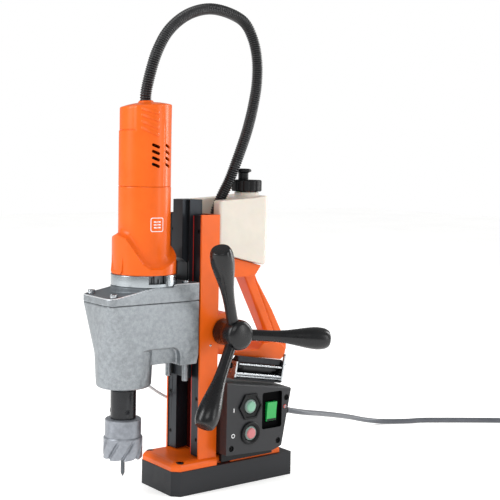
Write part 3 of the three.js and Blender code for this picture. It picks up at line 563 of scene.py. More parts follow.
def mains_lead():
    tail = [(170.5, 610.2, 13.4), (184, 596.5, 15.4), (194, 583, 17.6), (199.2, 570, 19.3),
            (200, 560.5, 19.6)]
    points, _ = smooth_line(LEAD_ROUTE + coil_points() + tail, 5)
    data = bpy.data.curves.new("mains_lead_sheath", "CURVE")
    data.dimensions = "3D"
    data.bevel_depth = 4 * MM
    data.bevel_resolution = 5
    data.use_fill_caps = True
    spline = data.splines.new("POLY")
    spline.points.add(len(points) - 1)
    for place, point in zip(spline.points, points):
        place.co = (*(point * MM), 1)
    spline.use_smooth = True
    data.materials.append(CORD)
    lead = bpy.data.objects.new("mains_lead_sheath", data)
    scene.collection.objects.link(lead)
    return settle(lead, "frame", "mains_lead", "lead_coil", slot="cord_grey")


def lead_gland():
    """A tapered relief with open ribs, and its nut against the box."""
    ribs = []
    for k in range(5):
        s = 10.5 + 4.4 * k
        r = 7.6 - 0.42 * k
        ribs += [(r + 0.5, s), (r + 0.35, s + 2.4), (r - 1.0, s + 2.7), (r - 1.1, s + 4.0)]
    profile = [(4.15, -9), (6.2, -9), (6.2, 1.4), (9.2, 1.4), (9.5, 2), (9.5, 5.5), (9, 6.4),
               (8.2, 6.6), (8.0, 9.5)] + ribs + [(5.6, 33), (5.2, 34), (4.15, 34)]
    gland = turned("lead_relief", profile, RUBBER, 64)
    aim = LEAD_AIM.to_track_quat("Z", "Y").to_matrix().to_4x4()
    moved(gland, Matrix.Translation(LEAD_EXIT * MM) @ aim)
    smooth(gland, 40)
    return settle(gland, "frame", "lead_gland", slot="black_rubber")


def mains_plug():
    """A round two-pin plug lying on its side."""
    profile = softened([(0, 0), (5.2, 0), (5.6, 9), (8.8, 19), (17.6, 25), (19.0, 29), (19.2, 34),
                        (19.2, 46.5), (18.4, 48), (0, 48)], 1.5)

    def flattened(r, h, angle):
        return r * (1 - 0.1 * abs(math.sin(angle)) ** 3 if 26 < h < 49 else 1), h

    parts = [turned("plug_body", profile, RUBBER, 72, flattened)]
    for x in (-9.5, 9.5):
        pin = softened([(0, 47), (2.4, 47), (2.4, 65), (1.6, 66), (0, 66)], 0.6)
        sleeve = [(0, 47.5), (2.6, 47.5), (2.6, 57), (0, 57)]
        parts += [shifted(turned("pin", pin, BRIGHT, 32), x, 0, 0),
                  shifted(turned("sleeve", sleeve, RUBBER, 32), x, 0, 0)]
    for low in (1.5, 5, 8.5, 12):
        ring = softened([(5.3, low), (6.3, low + 0.3), (6.3, low + 1.9), (5.3, low + 2.2)], 0.3)
        parts.append(turned("ring", ring, RUBBER, 48))
    plug = joined("mains_plug_body", [smooth(part) for part in parts])
    shifted(moved(plug, turn_about("X", 90)), *PLUG_PLACE)
    return settle(plug, "frame", "mains_plug", slot="black_rubber")


CONDUIT = [(0, -120, 509), (0, -120, 520), (0, -114, 546), (0, -103, 577), (0, -86, 604),
           (0, -58, 626), (0, -23, 637), (0, 12, 634), (0, 36, 624), (1, 49, 605), (3, 55.7, 578),
           (5, 55, 545), (9, 46, 511), (15, 32, 478), (18, 20.8, 455), (18.5, 11, 433),
           (16, 2.3, 410), (13, -7.6, 389), (10, -14, 369), (9, -15.5, 348)]
HOSE = [(-30, -20, 291.5), (-31, -21, 284), (-38, -24, 262), (-44.5, -28, 232), (-47, -31, 190),
        (-48, -33, 150), (-48, -37, 122), (-46.5, -45, 111.5), (-43, -54, 111.5),
        (-39.5, -62, 115.5), (-35.5, -75, 123), (-32, -88, 131.5), (-28.5, -100, 140),
        (-26.7, -108, 147), (-26.5, -111, 152.2)]


def stretching_line(name, node, route, step, radius_at, sides, material):
    """A tube along the route in place of the node, with its centre line and its measured length."""
    line, total = smooth_line(route, step)
    tube = swept(name, line, radius_at, sides, material)
    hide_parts(node)
    return tube, line, round(total * MM, 3)


def cable_conduit():
    """A corrugated conduit: rounded ribs with narrow grooves between them."""
    pitch, wave = 3.0, [7.1, 7.42, 7.5, 7.42, 7.1, 6.5, 6.2, 6.5]
    tube, line, length = stretching_line("conduit_tube", "cable_conduit", CONDUIT,
                                         pitch / len(wave), lambda k: wave[k % len(wave)], 28,
                                         CONDUIT_BLACK)
    smooth(tube, 75)
    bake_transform(tube)


def coolant_hose():
    tube, line, length = stretching_line("hose_tube", "coolant_hose", HOSE, 2.5, lambda k: 2.0,
                                         16, HOSE_GREY)
    smooth(tube, 60)
    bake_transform(tube)


lead = mains_lead()
lead_gland()
plug = mains_plug()
cable_conduit()
coolant_hose()


# ---- small hardware
def cap_screw(radius, height, socket, material=SCREW, steps=40):
    """A socket screw's head standing on z = 0, with its hexagon sunk from above."""
    body = turned("screw", softened([(0, 0), (radius, 0), (radius, height), (0, height)],
                                    radius * 0.14, 3), material, steps)
    hole = prism("hole", "Z", circle(0, 0, socket, 6), height * 0.35, height + 1)
    return smooth(cut(body, hole), 40)


def pan_screw(radius, height, material=SCREW, steps=40):
    """A domed head with a cross recess, standing on z = 0."""
    dome = [(radius * math.cos(a), height * (0.25 + 0.75 * math.sin(a)))
            for a in np.linspace(0, math.pi / 2 * 0.96, 7)]
    body = turned("screw", [(0, 0), (radius, 0), *dome, (0, height)], material, steps)
    long, narrow = radius * 0.6, radius * 0.13
    slots = [block("slot", -u, u, -v, v, height * 0.35, height + 1)
             for u, v in ((long, narrow), (narrow, long))]
    return smooth(cut(body, *slots), 40)


AIM = {"+X": turn_about("Y", 90), "-Y": turn_about("X", 90), "+Y": turn_about("X", -90)}


def aimed(piece, way, x, y, z):
    """Turns a piece drawn along Z to a side, and puts it there."""
    return shifted(moved(piece, AIM[way]), x, y, z)


# ---- magnet foot, column, rails and slide
FOOT_SCREWS = ((-36, -84, 38.3), (36, -84, 38.3))
RAIL_X, RAIL_FRONT, RAIL_SCREW_Z = 30.5, -52, (68, 123, 345)


def frame_parts():
    dress("magnet_housing", MAGNET, 1.2, 3)
    dress("magnet_coil", COPPER)
    shade_channel(dress("column_frame", ORANGE, 0.9, 3))
    for node in ("rail_left", "rail_right"):
        dress(node, RAIL, 0.6)
    # The gib strip is red: painted shade of the orange wall beside it.
    dress("gib_strip", GIB_SHADE_RED)
    dress("slide_bar", SLIDE, 0.7)
    dress("feed_rack", BRIGHT)
    for k, place in enumerate(FOOT_SCREWS, 1):
        settle(shifted(cap_screw(4.9, 4.9, 2.6), *place), "frame", f"foot_bolt_{k}",
               slot="dark_steel", name=f"foot_screw_{k}")
    for side in (-1, 1):
        for k, z in enumerate(RAIL_SCREW_Z):
            screw = aimed(cap_screw(3, 3.7, 1.5, RAIL_SCREW), "-Y", side * RAIL_X, RAIL_FRONT, z)
            settle(screw, "frame", slot="dark_steel", name=f"rail_screw_{'lr'[side > 0]}{k}")
    rivet = aimed(pan_screw(1.7, 1.2, BRIGHT), "+X", 38.9, -40, 194.6)
    settle(rivet, "frame", slot="bright_steel", name="column_rivet")


def shade_channel(column):
    """The channel behind the rails gets a dark red: painted shade on the orange web between the
    rails.
    """
    column.data.materials.append(CHANNEL_SHADE_RED)
    for polygon in column.data.polygons:
        x, y, z = (column.matrix_world @ polygon.center) / MM
        if abs(x) < 36.3 and -57 < y < -32.5 and z > 44.5:
            polygon.material_index = 1


# ---- gear head
SPINDLE_Y, MOTOR_Y = -149, -120
IDLER_X, IDLER_Y = 14, -104
HEAD_HALF, HEAD_REAR, SEAM = 37.5, -57.5, 255
CORNER, CORNER_Y = 10.4, -181.1


def head_outline(z, inset=0.0, steps=22):
    """Straight sides and back; the nose is round low down and boxy at the seam."""
    boxy = clamp((z - SEAM + 65) / 65)
    radius = HEAD_HALF + (CORNER - HEAD_HALF) * boxy
    centre = SPINDLE_Y + (CORNER_Y - SPINDLE_Y) * boxy
    reach = radius - inset
    outline = []
    for side in (1, -1):
        for k in range(steps + 1):
            a = math.pi / 2 * (k / steps + (side < 0))
            x = side * (HEAD_HALF - radius + 0.004) + reach * math.cos(a)
            outline.append((x, centre - reach * math.sin(a)))
    rear = HEAD_REAR - inset * 1.6
    return outline + [(inset - HEAD_HALF, rear), (HEAD_HALF - inset, rear)]


def head_loft(name, levels, inset=0.0):
    return loft(name, [[(x, y, z) for x, y in head_outline(z, inset)] for z in levels])


def lid_block(name, low, high, inset=0.0):
    """An upright block with the outline that the head has at its seam."""
    return loft(name, [[(x, y, z) for x, y in head_outline(SEAM, inset)] for z in (low, high)])


def upright(name, radius, low, high, x=0.0, y=0.0, steps=64):
    return prism(name, "Z", circle(x, y, radius, steps), low, high)


def gear_housing():
    body = head_loft("gear_case", [190, 197, 204, 211, 218, 225, 232, 239, 247, 255])
    nose = turned("nose", softened([(0, 146.5), (33.5, 146.5), (35.5, 149), (HEAD_HALF, 190),
                                    (HEAD_HALF, 197.5), (30, 203), (0, 203)], 1.2), None, 128)
    shifted(nose, 0, SPINDLE_Y, 0)
    skirt = block("skirt", -HEAD_HALF, HEAD_HALF, SPINDLE_Y, HEAD_REAR, 172, 191)
    arches = []
    for side in (-1, 1):
        low, high = sorted((side * 28, side * 60))
        arch = rounded([(-149, 150, 0), (-86, 150, 0), (-86, 196.3, 12), (-149, 196.3, 0)], 10)
        arches.append(prism("arch", "X", arch, low, high))
    belly = block("belly", -40, 40, -151, -86, 160, 175)
    add(body, skirt)
    cut(body, *arches, belly)
    posts = [upright("post", 4.3, 147, 173, side * 20, -67) for side in (-1, 1)]
    barb = [upright("barb", 3.4, 158, 178, -26.5, -111),
            upright("barb", 2.5, 153.2, 160, -26.5, -111)]
    add(body, nose, *posts, *barb)
    cut(body, prism("leg", "X", [(-62, 165), (-56, 191), (-56, 165)], -50, 50),
        block("slot", -16.8, 16.8, -60.8, -50, 160, 260),
        head_loft("cavity", [212, 222, 234, 246, 256], 4),
        upright("bore", 17, 138, 160, 0, SPINDLE_Y), upright("seat", 23.8, 152, 220, 0, SPINDLE_Y),
        upright("sweep", 20.5, 224, 256, IDLER_X, IDLER_Y),
        upright("pocket", 5.4, 206, 225, IDLER_X, IDLER_Y))
    paint(cast(body, 1.0, 3), CAST)
    return settle(body, "carriage", "gear_housing", slot="cast_aluminium")


RIM = [(-195, 264.2), (-180.4, 265.8), (-159.8, 269.5), (-145.9, 272.2), (-124.7, 275.6),
       (-103, 277.9), (-90, 278.8), (-50, 279)]
LID_SCREWS = ((28, -181, 264.2, 5.8), (-28, -181, 264.2, 5.8), (28.5, -74, 277, 5),
              (-28.5, -74, 277, 5))


def rim_height(y):
    return float(np.interp(y, [p[0] for p in RIM], [p[1] for p in RIM]))


def within_rim(x, y, inset):
    """Whether a point is inside the lid's edge by at least the inset."""
    x = abs(x)
    if x > HEAD_HALF - CORNER and y < CORNER_Y:
        return math.hypot(x - HEAD_HALF + CORNER, y - CORNER_Y) < CORNER - inset
    return x < HEAD_HALF - inset and CORNER_Y - CORNER + inset < y < HEAD_REAR - inset


def above_rim(drop=0.0):
    """Everything over the lid's sloping rim, or from a drop below it."""
    return prism("above", "X", [(y, z - drop) for y, z in RIM] + [(-50, 300), (-195, 300)], -60, 60)


def round_motor(radius, low, high):
    return upright("round", radius, low, high, 0, MOTOR_Y, 96)


def gear_cover():
    body = lid_block("gear_lid", 255.3, 285)
    cut(body, above_rim(), round_motor(43.3, 276, 300))
    pad = lid_block("pad", 262, 276, 2.4)
    add(body, combine(pad, [round_motor(42.8, 260, 278)], "INTERSECT"))
    cut(body, lid_block("hollow", 254, 261, 4))
    add(body, upright("boss", 20, 255.3, 262, 0, SPINDLE_Y),
        upright("boss", 9, 257, 262, IDLER_X, IDLER_Y))
    recess = combine(lid_block("recess", 262, 290, 2.4), [above_rim(1.0)], "INTERSECT")
    cut(body, cut(recess, round_motor(43.0, 240, 300)))
    cut(body, upright("seat", 16.3, 250, 264.2, 0, SPINDLE_Y),
        upright("seat", 5.4, 250, 260.5, IDLER_X, IDLER_Y), upright("hole", 6, 250, 290, 0, MOTOR_Y),
        upright("seat", 12.3, 268, 290, 0, MOTOR_Y), block("slot", -16.8, 16.8, -60.8, -50, 250, 300))
    paint(cast(body, 0.8, 2), CAST, CAST_TOP_SHADE, RIM_HIGHLIGHT)
    # Painted shade: faces on the lid's top get the darker copy of the casting.
    for polygon in body.data.polygons:
        x, y, z = polygon.center / MM
        if z > 262.3 and within_rim(x, y, 1.9):
            polygon.material_index = 1
        # Painted highlight: a thin bright band along the rim's upper edge.
        elif z > rim_height(y) - 1.0:
            polygon.material_index = 2
    settle(body, "carriage", "gear_cover", slot="cast_aluminium")
    for k, (x, y, low, tall) in enumerate(LID_SCREWS):
        screw = shifted(cap_screw(4.7, tall, 2.4, BRIGHT), x, y, low)
        settle(screw, "carriage", slot="bright_steel", name=f"lid_screw_{k}")


# ---- motor
def motor_collar():
    ring = turned("collar_ring", softened([(26, 276.3), (42.7, 276.3), (42.7, 291), (26, 291),
                                           (26, 276.3)], 0.9)[:-1], None, 144)
    to_window = turn_about("Z", -7)
    cut(ring, moved(block("window", 28, 50, -12, 12, 280.5, 293), to_window))
    smooth(paint(shifted(ring, 0, MOTOR_Y, 0), COLLAR), 30)
    settle(ring, "carriage", "motor_collar", slot="cast_aluminium")
    bars = [moved(block("bar", 33.5, 36, -half, half, 280.8, top, BLUED), turn_about("Z", turn))
            for turn, half, top in ((-20, 1.4, 290.6), (-13.5, 0.5, 288), (-7, 1.9, 290.6),
                                    (1.5, 0.8, 286))]
    # Painted shade: the dark plate behind the bars fills the window with the shade inside the collar.
    bars.append(moved(block("back", 31, 33.4, -11, 11, 280.8, 290.6, BLUED), to_window))
    grille = shifted(joined("collar_grille", bars), 0, MOTOR_Y, 0)
    settle(grille, "carriage", slot="black_plastic")




MOTOR_R, BAND_R = 33.7, 41.6


def near(angle, centre):
    """The angle from the centre, between half a turn back and half a turn on."""
    return (angle - centre + math.pi) % TAU - math.pi


FLARE = [(0, 343), (25, 338), (40, 325), (57, 306), (72, 299), (90, 299), (104, 303), (130, 309),
         (150, 313), (180, 325)]


def skirt_radius(z, angle):
    """A band round the foot, and above it a hollow curve up to the barrel."""
    off = math.degrees(abs(near(angle, -math.pi / 2)))
    high = float(np.interp(off, [p[0] for p in FLARE], [p[1] for p in FLARE]))
    if z <= high:
        return BAND_R
    if z >= high + 8:
        return MOTOR_R
    return MOTOR_R + 8 - math.sqrt(max(0, 64 - (high + 8 - z) ** 2))


def motor_housing():
    heights = [403, 402.6, 401, *np.linspace(398, 354, 6), *np.linspace(352, 292, 91), 291.3]

    def skin(z):
        ease = 0.45 * (z > 402.8) + 0.5 * (z < 291.5)
        return ring_at(lambda angle: skirt_radius(z, angle) - ease, z, 144)

    rings = [skin(z) for z in heights] + [ring_at(31, z, 144) for z in (291.3, 403)]
    barrel = smooth(loft("motor_barrel", rings, ORANGE, closed=True), 50)
    boss = prism("boss", "Y", rectangle(-13.2, 13.2, 292, 343.5, 5, 6), -41.9, -31.4)
    cut(boss, prism("slope", "X", [(-45, 285), (-41.6, 296), (-38.2, 330), (-35.3, 341),
                                   (-33, 346), (-45, 350)], -30, 30))
    panel = prism("panel", "Y", rectangle(-8.6, 8.6, 296.5, 336, 3, 5), -46, -31)
    lean = prism("lean", "X", [(-46, 285), (-40.7, 296), (-37.2, 331), (-34.4, 341), (-46, 350)],
                 -30, 30)
    cut(boss, combine(panel, [lean], "INTERSECT"))
    bevel(paint(boss, ORANGE), 0.9, 3)
    tabs = [moved(block("tab", 38.2, 41.2, -1.9, 1.9, 291.3, 293, ORANGE),
                  turn_about("Z", -30 + 11 * k)) for k in range(4)]
    body = shifted(joined("motor_body", [barrel, boss, *tabs]), 0, MOTOR_Y, 0)
    return settle(body, "carriage", "motor_housing", slot="orange_paint")


def cap_radius(z, angle):
    """The upper shell's radius: a raised front, and the part lines with their soft swells."""
    r = MOTOR_R - (0.45 if z < 403.5 else 0)
    share = clamp((0.72 - abs(near(angle, math.radians(-92)))) / 0.12)
    if z > 474:
        r -= 0.9 * share
    if 474 < z < 475:
        r -= 0.35 * share
    for line in (part_line(z), math.radians(161)):
        off = near(angle, line) * (1 if line < 1.5 else -1)
        if abs(off) < 0.017:
            r -= 0.4
        if 0.017 < off < 0.95:
            r -= 0.55 * math.sin(math.pi * off / 0.95)
    return r


def motor_cap():
    """The upper shell: a part line, slanted cooling slots and shallow ribs above them."""
    steps = 192
    heights = [403.3, 403.8, 405, *np.linspace(408, 470, 12), 473.6, 474.1, 474.9, 475.4,
               *np.linspace(478, 502, 8)]

    def ring(share, z, level=None):
        tilt = 2.5 * clamp((z - 470) / 34) * share
        flat = ring_at(lambda angle: cap_radius(level or z, angle) * share, z, steps)
        return [(x, y, h + tilt * math.cos(TAU * k / steps - math.radians(58)))
                for k, (x, y, h) in enumerate(flat)]

    dome = [(0.999, 504.2), (0.993, 504.9), (0.98, 505.4), (0.955, 505.8), (0.9, 506.3),
            (0.76, 507.5), (0.6, 508.6), (0.45, 509.3), (0.34, 509.7), (0.3, 510.1),
            (0.285, 511.2), (0.27, 511.8), (0.25, 512)]
    inside = [(8.2, 512), (8.2, 506), (20, 504), (27, 500.4), (30.4, 496), (30.6, 470),
              (30.6, 403.3)]
    rings = [ring(1, z) for z in heights] + [ring(share, z, 502) for share, z in dome]
    rings += [ring_at(r, z, steps) for r, z in inside]
    shell = loft("motor_top", rings, ORANGE, closed=True)
    slots = []
    for turn in (-7.8, 27):
        for k in range(4):
            slot = prism("slot", "X", rectangle(-5.9, 5.9, -1.95, 1.95, 1.8, 5), 26, 36)
            shifted(moved(slot, turn_about("X", -20)), 0, 0, 430.4 + 8.06 * k)
            slots.append(moved(slot, turn_about("Z", turn)))
    smooth(cut(shell, *slots), 32)
    ribs = [rib(left, right) for left, right in ((499.2, 493.7), (491.7, 485), (483.5, 475.7),
                                                 (475.7, 466.3))]
    top = shifted(joined("motor_shell", [shell, *ribs]), 0, MOTOR_Y, 0)
    return settle(top, "carriage", "motor_cap", slot="orange_paint")


def part_line(z):
    """The shell's part line leans towards the front above the vents."""
    return math.radians(15 - 8 * clamp((z - 480) / 23))


def rib(left, right):
    """A louvre: a sharp lower edge that stands proud, fading into the shell above it."""
    rings, count = [], 36
    for k in range(count + 1):
        t = k / count
        a = math.radians(-41 + 40 * t)
        z = left + (right - left) * t
        proud = 1.25 * min(1, t / 0.06 + 0.03, (1 - t) / 0.06 + 0.03)
        section = [(32.9, 0), (33.6 + proud * 0.85, 0), (33.6 + proud, 0.35),
                   (33.6 + proud * 0.8, 1.6), (33.6 + proud * 0.25, 4.2), (32.9, 5.6)]
        rings.append([(r * math.cos(a), r * math.sin(a), z + h) for r, h in section])
    return smooth(loft("rib", rings, ORANGE), 40)


def badge():
    """A plain rounded frame with three bars, in place of any mark."""
    outer = prism("badge", "X", rectangle(-9.2, 9.2, -9, 9, 2.6, 6), 33.3, 34.05, MARK)
    parts = [cut(outer, prism("hole", "X", rectangle(-8.3, 8.3, -8.1, 8.1, 2, 6), 30, 36))]
    parts += [prism("bar", "X", rectangle(-5, 5, z - 0.8, z + 0.8, 0.7, 4), 33.3, 34.0, MARK)
              for z in (-3.6, 0, 3.6)]
    plate = joined("plain_badge", parts)
    work = bmesh.new()
    work.from_mesh(plate.data)
    bmesh.ops.triangulate(work, faces=work.faces)
    bmesh.ops.subdivide_edges(work, edges=[e for e in work.edges if e.calc_length() > 1.5 * MM],
                              cuts=4)
    for vertex in work.verts:
        radius = MOTOR_R * MM - 0.1 * MM + (vertex.co.x - 33.3 * MM) * 0.35
        angle = vertex.co.y / MM / 33.75
        vertex.co.x, vertex.co.y = radius * math.cos(angle), radius * math.sin(angle)
    work.to_mesh(plate.data)
    work.free()
    shifted(moved(plate, turn_about("Z", -3)), 0, MOTOR_Y, 355.5)
    settle(smooth(plate, 30), "carriage", slot="orange_paint")


# ---- spindle and tool
def arbor():
    """The cutter's holder, with two set screws in their holes."""
    profile = softened([(9.9, 104.6), (16.1, 104.6), (16.6, 105.2), (16.6, 141.4), (16, 142.2),
                        (3.5, 142.2)], 0.3)
    body = turned("arbor_body", profile + [(3.5, 138.6), (9.9, 138.6)], BLUED, 96)
    ways = [turn_about("Z", turn) for turn in (-10, -128)]
    cut(body, *[moved(prism("hole", "X", circle(0, 114.5, 3.1, 24), 14.5, 20), way)
                for way in ways])
    screws = [moved(aimed(cap_screw(2.9, 2.3, 1.5, SCREW, 32), "+X", 14.7, 0, 114.5), way)
              for way in ways]
    piece = joined("arbor_piece", [smooth(paint(body, BLUED), 32), *screws])
    settle(shifted(piece, 0, SPINDLE_Y, 0), "spindle", "arbor", slot="black_steel")


def tool_parts():
    arbor()
    cutter()
    for node, material in (("pilot_pin", GEAR), ("pilot_spring", BRIGHT), ("spindle", BLUED),
                           ("spindle_gear", GEAR), ("idler_gear", GEAR), ("armature", GEAR),
                           ("motor_stator", COPPER)):
        dress(node, material)
    for node in ("lower_bearing", "upper_bearing", "end_bearing", "motor_bearing"):
        dress(node, BRIGHT, 0.5)


def cutter():
    """An annular cutter: a plain shoulder, then spiral flutes that end in teeth."""
    steps, flutes, radius = 240, 8, 25.25

    def fluted(z):
        ring = []
        for k in range(steps):
            a = TAU * k / steps
            phase = (a * flutes / TAU + (80 - z) * 0.0335) % 1
            depth = 2.5 * min(1, phase / 0.05, (0.3 - phase) / 0.1) if phase < 0.3 else 0
            tooth = 2.2 * ((phase + 0.7) % 1) * (55 - z) / 2.4 if z < 55 else 0
            r = radius - depth * clamp((80.5 - z) / 7)
            ring.append((r * math.cos(a), r * math.sin(a), z + tooth))
        return ring

    shoulder = [(9.5, 138), (9.5, 104.4), (21.2, 104.4), (22.4, 104), (23.2, 103.2), (23.35, 102),
                (23.35, 82.6), (23.5, 81.6), (24.8, 80.3), (radius, 79.4)]
    rings = [ring_at(r, z, steps) for r, z in shoulder]
    rings += [fluted(z) for z in np.linspace(78.6, 52.6, 22)]
    rings += [ring_at(r, z, steps) for r, z in ((20.8, 54.4), (20.8, 96), (3.4, 96), (3.4, 138))]
    body = smooth(loft("hole_cutter_body", rings, CUTTER, closed=True), 28)
    settle(shifted(body, 0, SPINDLE_Y, 0), "spindle", "hole_cutter", slot="cutter_grey")


# ---- capstan
HUB_Y, HUB_Z = -21, 212


def capstan():
    profile = softened([(0, 40), (16.6, 40), (17.6, 41.2), (17.6, 56), (18.2, 60), (19.8, 65),
                        (20, 70), (20, 77), (18.6, 81.5), (14.5, 84.6), (8, 85.8), (0, 86)], 1.6, 5)
    hub = cut(turned("capstan_body", profile, None, 96), upright("bore", 7.3, 30, 62.3))
    smooth(paint(aimed(hub, "+X", 0, HUB_Y, HUB_Z), GRIP), 35)
    settle(hub, "capstan", "capstan_hub", slot="black_plastic")
    grip = softened([(0, 10), (7.7, 10), (7.4, 30), (7.4, 50), (7.9, 62), (9, 74), (11.2, 88),
                     (13.6, 102), (14.9, 112), (15.2, 118), (14.8, 125), (13.9, 129.5),
                     (12.6, 132.6), (11.9, 133.8), (11, 134.4), (0, 134.2)], 1.2, 3)
    lean = Matrix.Rotation(math.atan2(39.5, 128.7), 4, "Y")
    for k in range(3):
        arm = turned(f"lever_grip_{k + 1}", grip, GRIP, 64)
        moved(arm, turn_about("X", 24.7 - 120 * k) @ Matrix.Translation((66 * MM, 0, 0)) @ lean)
        settle(smooth(shifted(arm, 0, HUB_Y, HUB_Z), 40), "capstan", f"feed_lever_{k + 1}",
               slot="black_plastic")
    dress("pinion_shaft", BRIGHT)
    dress("pinion_bush_left", BRONZE)
    dress("pinion_bush_right", BRONZE)


# ---- tank
CAP_X, CAP_Y, PLUNGER_Y = 14, 34, 28


def tank_plan(inset):
    x, c, front, back = 38 - inset, 22 + inset, -27.4 + inset, 14 + inset
    rear = 56 - inset
    return rounded([(c, front, 2), (x, front, 3), (x, rear, 9), (-x, rear, 9), (-x, front, 3),
                    (-c, front, 2), (-c, back, 7), (c, back, 7)], 6)


def tank_side(inset):
    i = inset
    return rounded([(-27.4 + i, 317 + i, 0), (-3, 310 + i, 0), (49 - i, 297 + i, 4),
                    (53.4 - i, 303 + i, 5), (55 - i, 330, 0), (55.4 - i, 369, 3), (56 - i, 376, 2.5),
                    (56 - i, 389 - i, 4), (50 - i, 391.5 - i, 5), (29, 388.6 - i, 0),
                    (-27.4 + i, 385.2 - i, 4)], 4)


def tank_solid(inset, name="tank"):
    body = prism(name, "Z", tank_plan(inset), 290, 400)
    side = prism("side", "X", tank_side(inset), -60, 60)
    return combine(body, [side], "INTERSECT")


def tank_parts():
    body = tank_solid(0, "tank_shell")
    add(body, upright("neck", 16.5, 380, 396.2, CAP_X, CAP_Y))
    cut(body, tank_solid(2.8), upright("mouth", 13.7, 370, 400, CAP_X, CAP_Y))
    paint(cast(body, 1.15, 4), TANK)
    settle(body, "frame", "coolant_tank", slot="tank_plastic")

    def flutes(r, h, angle):
        if r < 19 or not 396.9 < h < 411:
            return r, h
        return r - 0.85 * max(0, math.cos(angle * 14)) ** 3, h
    cap = turned("cap_body", softened([(7.3, 396.7), (19.6, 396.7), (20.3, 397.4), (20.6, 398.4),
                                       (20.6, 410), (20.2, 411.2), (19, 412.2), (7.3, 412.2)],
                                      0.5, 3), PLASTIC, 168, flutes)
    smooth(cap, 40)
    centre_cap(cap)
    dress("tank_valve", PLASTIC, 0.4)
    dress("conduit_socket", ORANGE, 0.6)


def centre_cap(cap):
    """The plunger's bore is off the cap's own axis."""
    for vertex in cap.data.vertices:
        r = math.hypot(vertex.co.x, vertex.co.y) / MM
        vertex.co.y += (PLUNGER_Y - CAP_Y) * MM * (1 - clamp((r - 7.3) / 8))
    shifted(cap, CAP_X, CAP_Y, 0)
    settle(cap, "cap", "tank_cap", slot="black_plastic")
    profile = softened([(0, 372), (4, 372), (4, 398), (6.9, 398.4), (6.9, 421.4), (8.6, 422.7),
                        (10.6, 423.2), (10.9, 424.4), (10.7, 425.6), (9, 427), (5, 427.4),
                        (0, 427.4)], 0.6, 3)
    plunger = smooth(turned("plunger_body", profile, PLASTIC, 64), 40)
    shifted(plunger, CAP_X, PLUNGER_Y, 0)
    settle(plunger, "plunger", "pump_plunger", slot="black_plastic")


# ---- handle
def carry_handle():
    tray = rounded([(-27.7, 299, 2), (-27.7, 316.3, 0), (-3, 309.4, 0), (49.8, 295.8, 1),
                    (40, 283, 2), (33, 281.6, 2), (3, 281.6, 6), (-8, 286, 4)], 5)
    body = prism("handle_casting", "X", tray, -30, 30)
    cut(body, block("notch", -32, -22, -30, -10, 270, 320))
    grip = rounded([(33, 284, 0), (44, 289, 0), (53.5, 281, 3), (57, 273, 6), (84.6, 230.5, 60),
                    (101, 201, 12), (112, 180, 4), (112, 172, 4), (106, 161.8, 5), (84, 165, 3),
                    (77, 192, 12), (72, 204, 8)], 6)
    arm = rounded([(-27.7, 179.5, 0), (-3, 175.6, 0), (94, 159.8, 2), (101, 164, 3), (103, 174, 4),
                   (97, 181, 6), (84, 186, 5), (62, 186, 6), (55, 178, 6), (20, 178.6, 0),
                   (6, 180.5, 4), (-8, 187.4, 3), (-27.7, 187.4, 0)], 5)
    grip_part = prism("grip", "X", grip, -12, 12)
    carve = []
    for side in (-1, 1):
        corner = []
        for z in (199, 283):
            y = 34 + (270 - z) * 0.528
            corner.append([(side * 12.6, y, z), (side * 12.6, y + 7.6, z), (side * 5, y, z)])
        carve.append(loft("corner", corner))
        low, high = sorted((side * 10.2, side * 20))
        lane = [(51.6, 276), (54.2, 276), (90.4, 199), (87.8, 199)]
        carve.append(prism("groove", "X", lane, low, high))
    cut(grip_part, *carve)
    add(body, grip_part, prism("arm", "X", arm, -22, 22))
    paint(cast(body, 0.9, 2), ORANGE)
    settle(body, "frame", "carry_handle", slot="orange_paint")


# ---- ratchet
RATCHET_PLACE, RATCHET_TILT = Vector((35.5, 37, 155.5)), -0.176


def strap_ratchet():
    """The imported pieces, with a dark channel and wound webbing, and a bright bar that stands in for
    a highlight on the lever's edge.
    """
    for node, material, width in (("ratchet_frame", RATCHET, 0.4), ("ratchet_spool", SCREW, 0.3),
                                  ("ratchet_lever", SCREW, 0.5)):
        dress(node, material, width)
    place = Matrix.Translation(RATCHET_PLACE * MM) @ Matrix.Rotation(RATCHET_TILT, 4, "X")
    channel = prism("ratchet_channel", "Y", [(-11.6, -16), (11, -16), (11, -13.6), (-9.6, -13.6),
                                             (-9.6, 6), (-11.6, 6)], -39.3, 39.3, SCREW)
    settle(moved(bevel(channel, 0.3, 2), place), "frame", slot="dark_steel")
    turns = []
    for r, half in ((7.4, 25), (6.6, 26.5), (5.8, 28)):
        profile = softened([(5.4, -half), (r, -half), (r, half), (5.4, half)], 0.3)
        turns.append(aimed(turned("turn", profile, RUBBER, 64), "+Y", 0, 0, 1))
    webbing = joined("ratchet_webbing", [smooth(t) for t in turns])
    settle(moved(webbing, place), "ratchet_spool", slot="black_steel")
    # Painted highlight: a bright rod that stands for the highlight along the lever's edge.
    bar = aimed(turned("ratchet_highlight_bar", softened([(0, -37.9), (1.5, -37.9), (1.5, 37.9), (0, 37.9)],
                                               0.3), RATCHET, 32), "+Y", 12, 0, 5.2)
    settle(smooth(moved(bar, place)), "ratchet_lever", slot="bright_steel")
    heads = (("ratchet_spool", 4.2, 2.4, RATCHET, (0, 35.1, 1)),
             ("frame", 2.6, 1.6, SCREW, (7, 39.4, 10.4)))
    for k, (body, radius, height, material, spot) in enumerate(heads):
        head = aimed(pan_screw(radius, height, material), "-Y", *spot)
        settle(moved(head, place), body, slot="bright_steel", name=f"ratchet_head_{k}")




# ---- control box
FACE = 61
START, STOP, LENS = (11.2, 110.8), (12.1, 74.3), (71.6, 103.1)
PANEL_SCREWS = ((-19, 57), (60.4, 57.3), (73.6, 115.4))


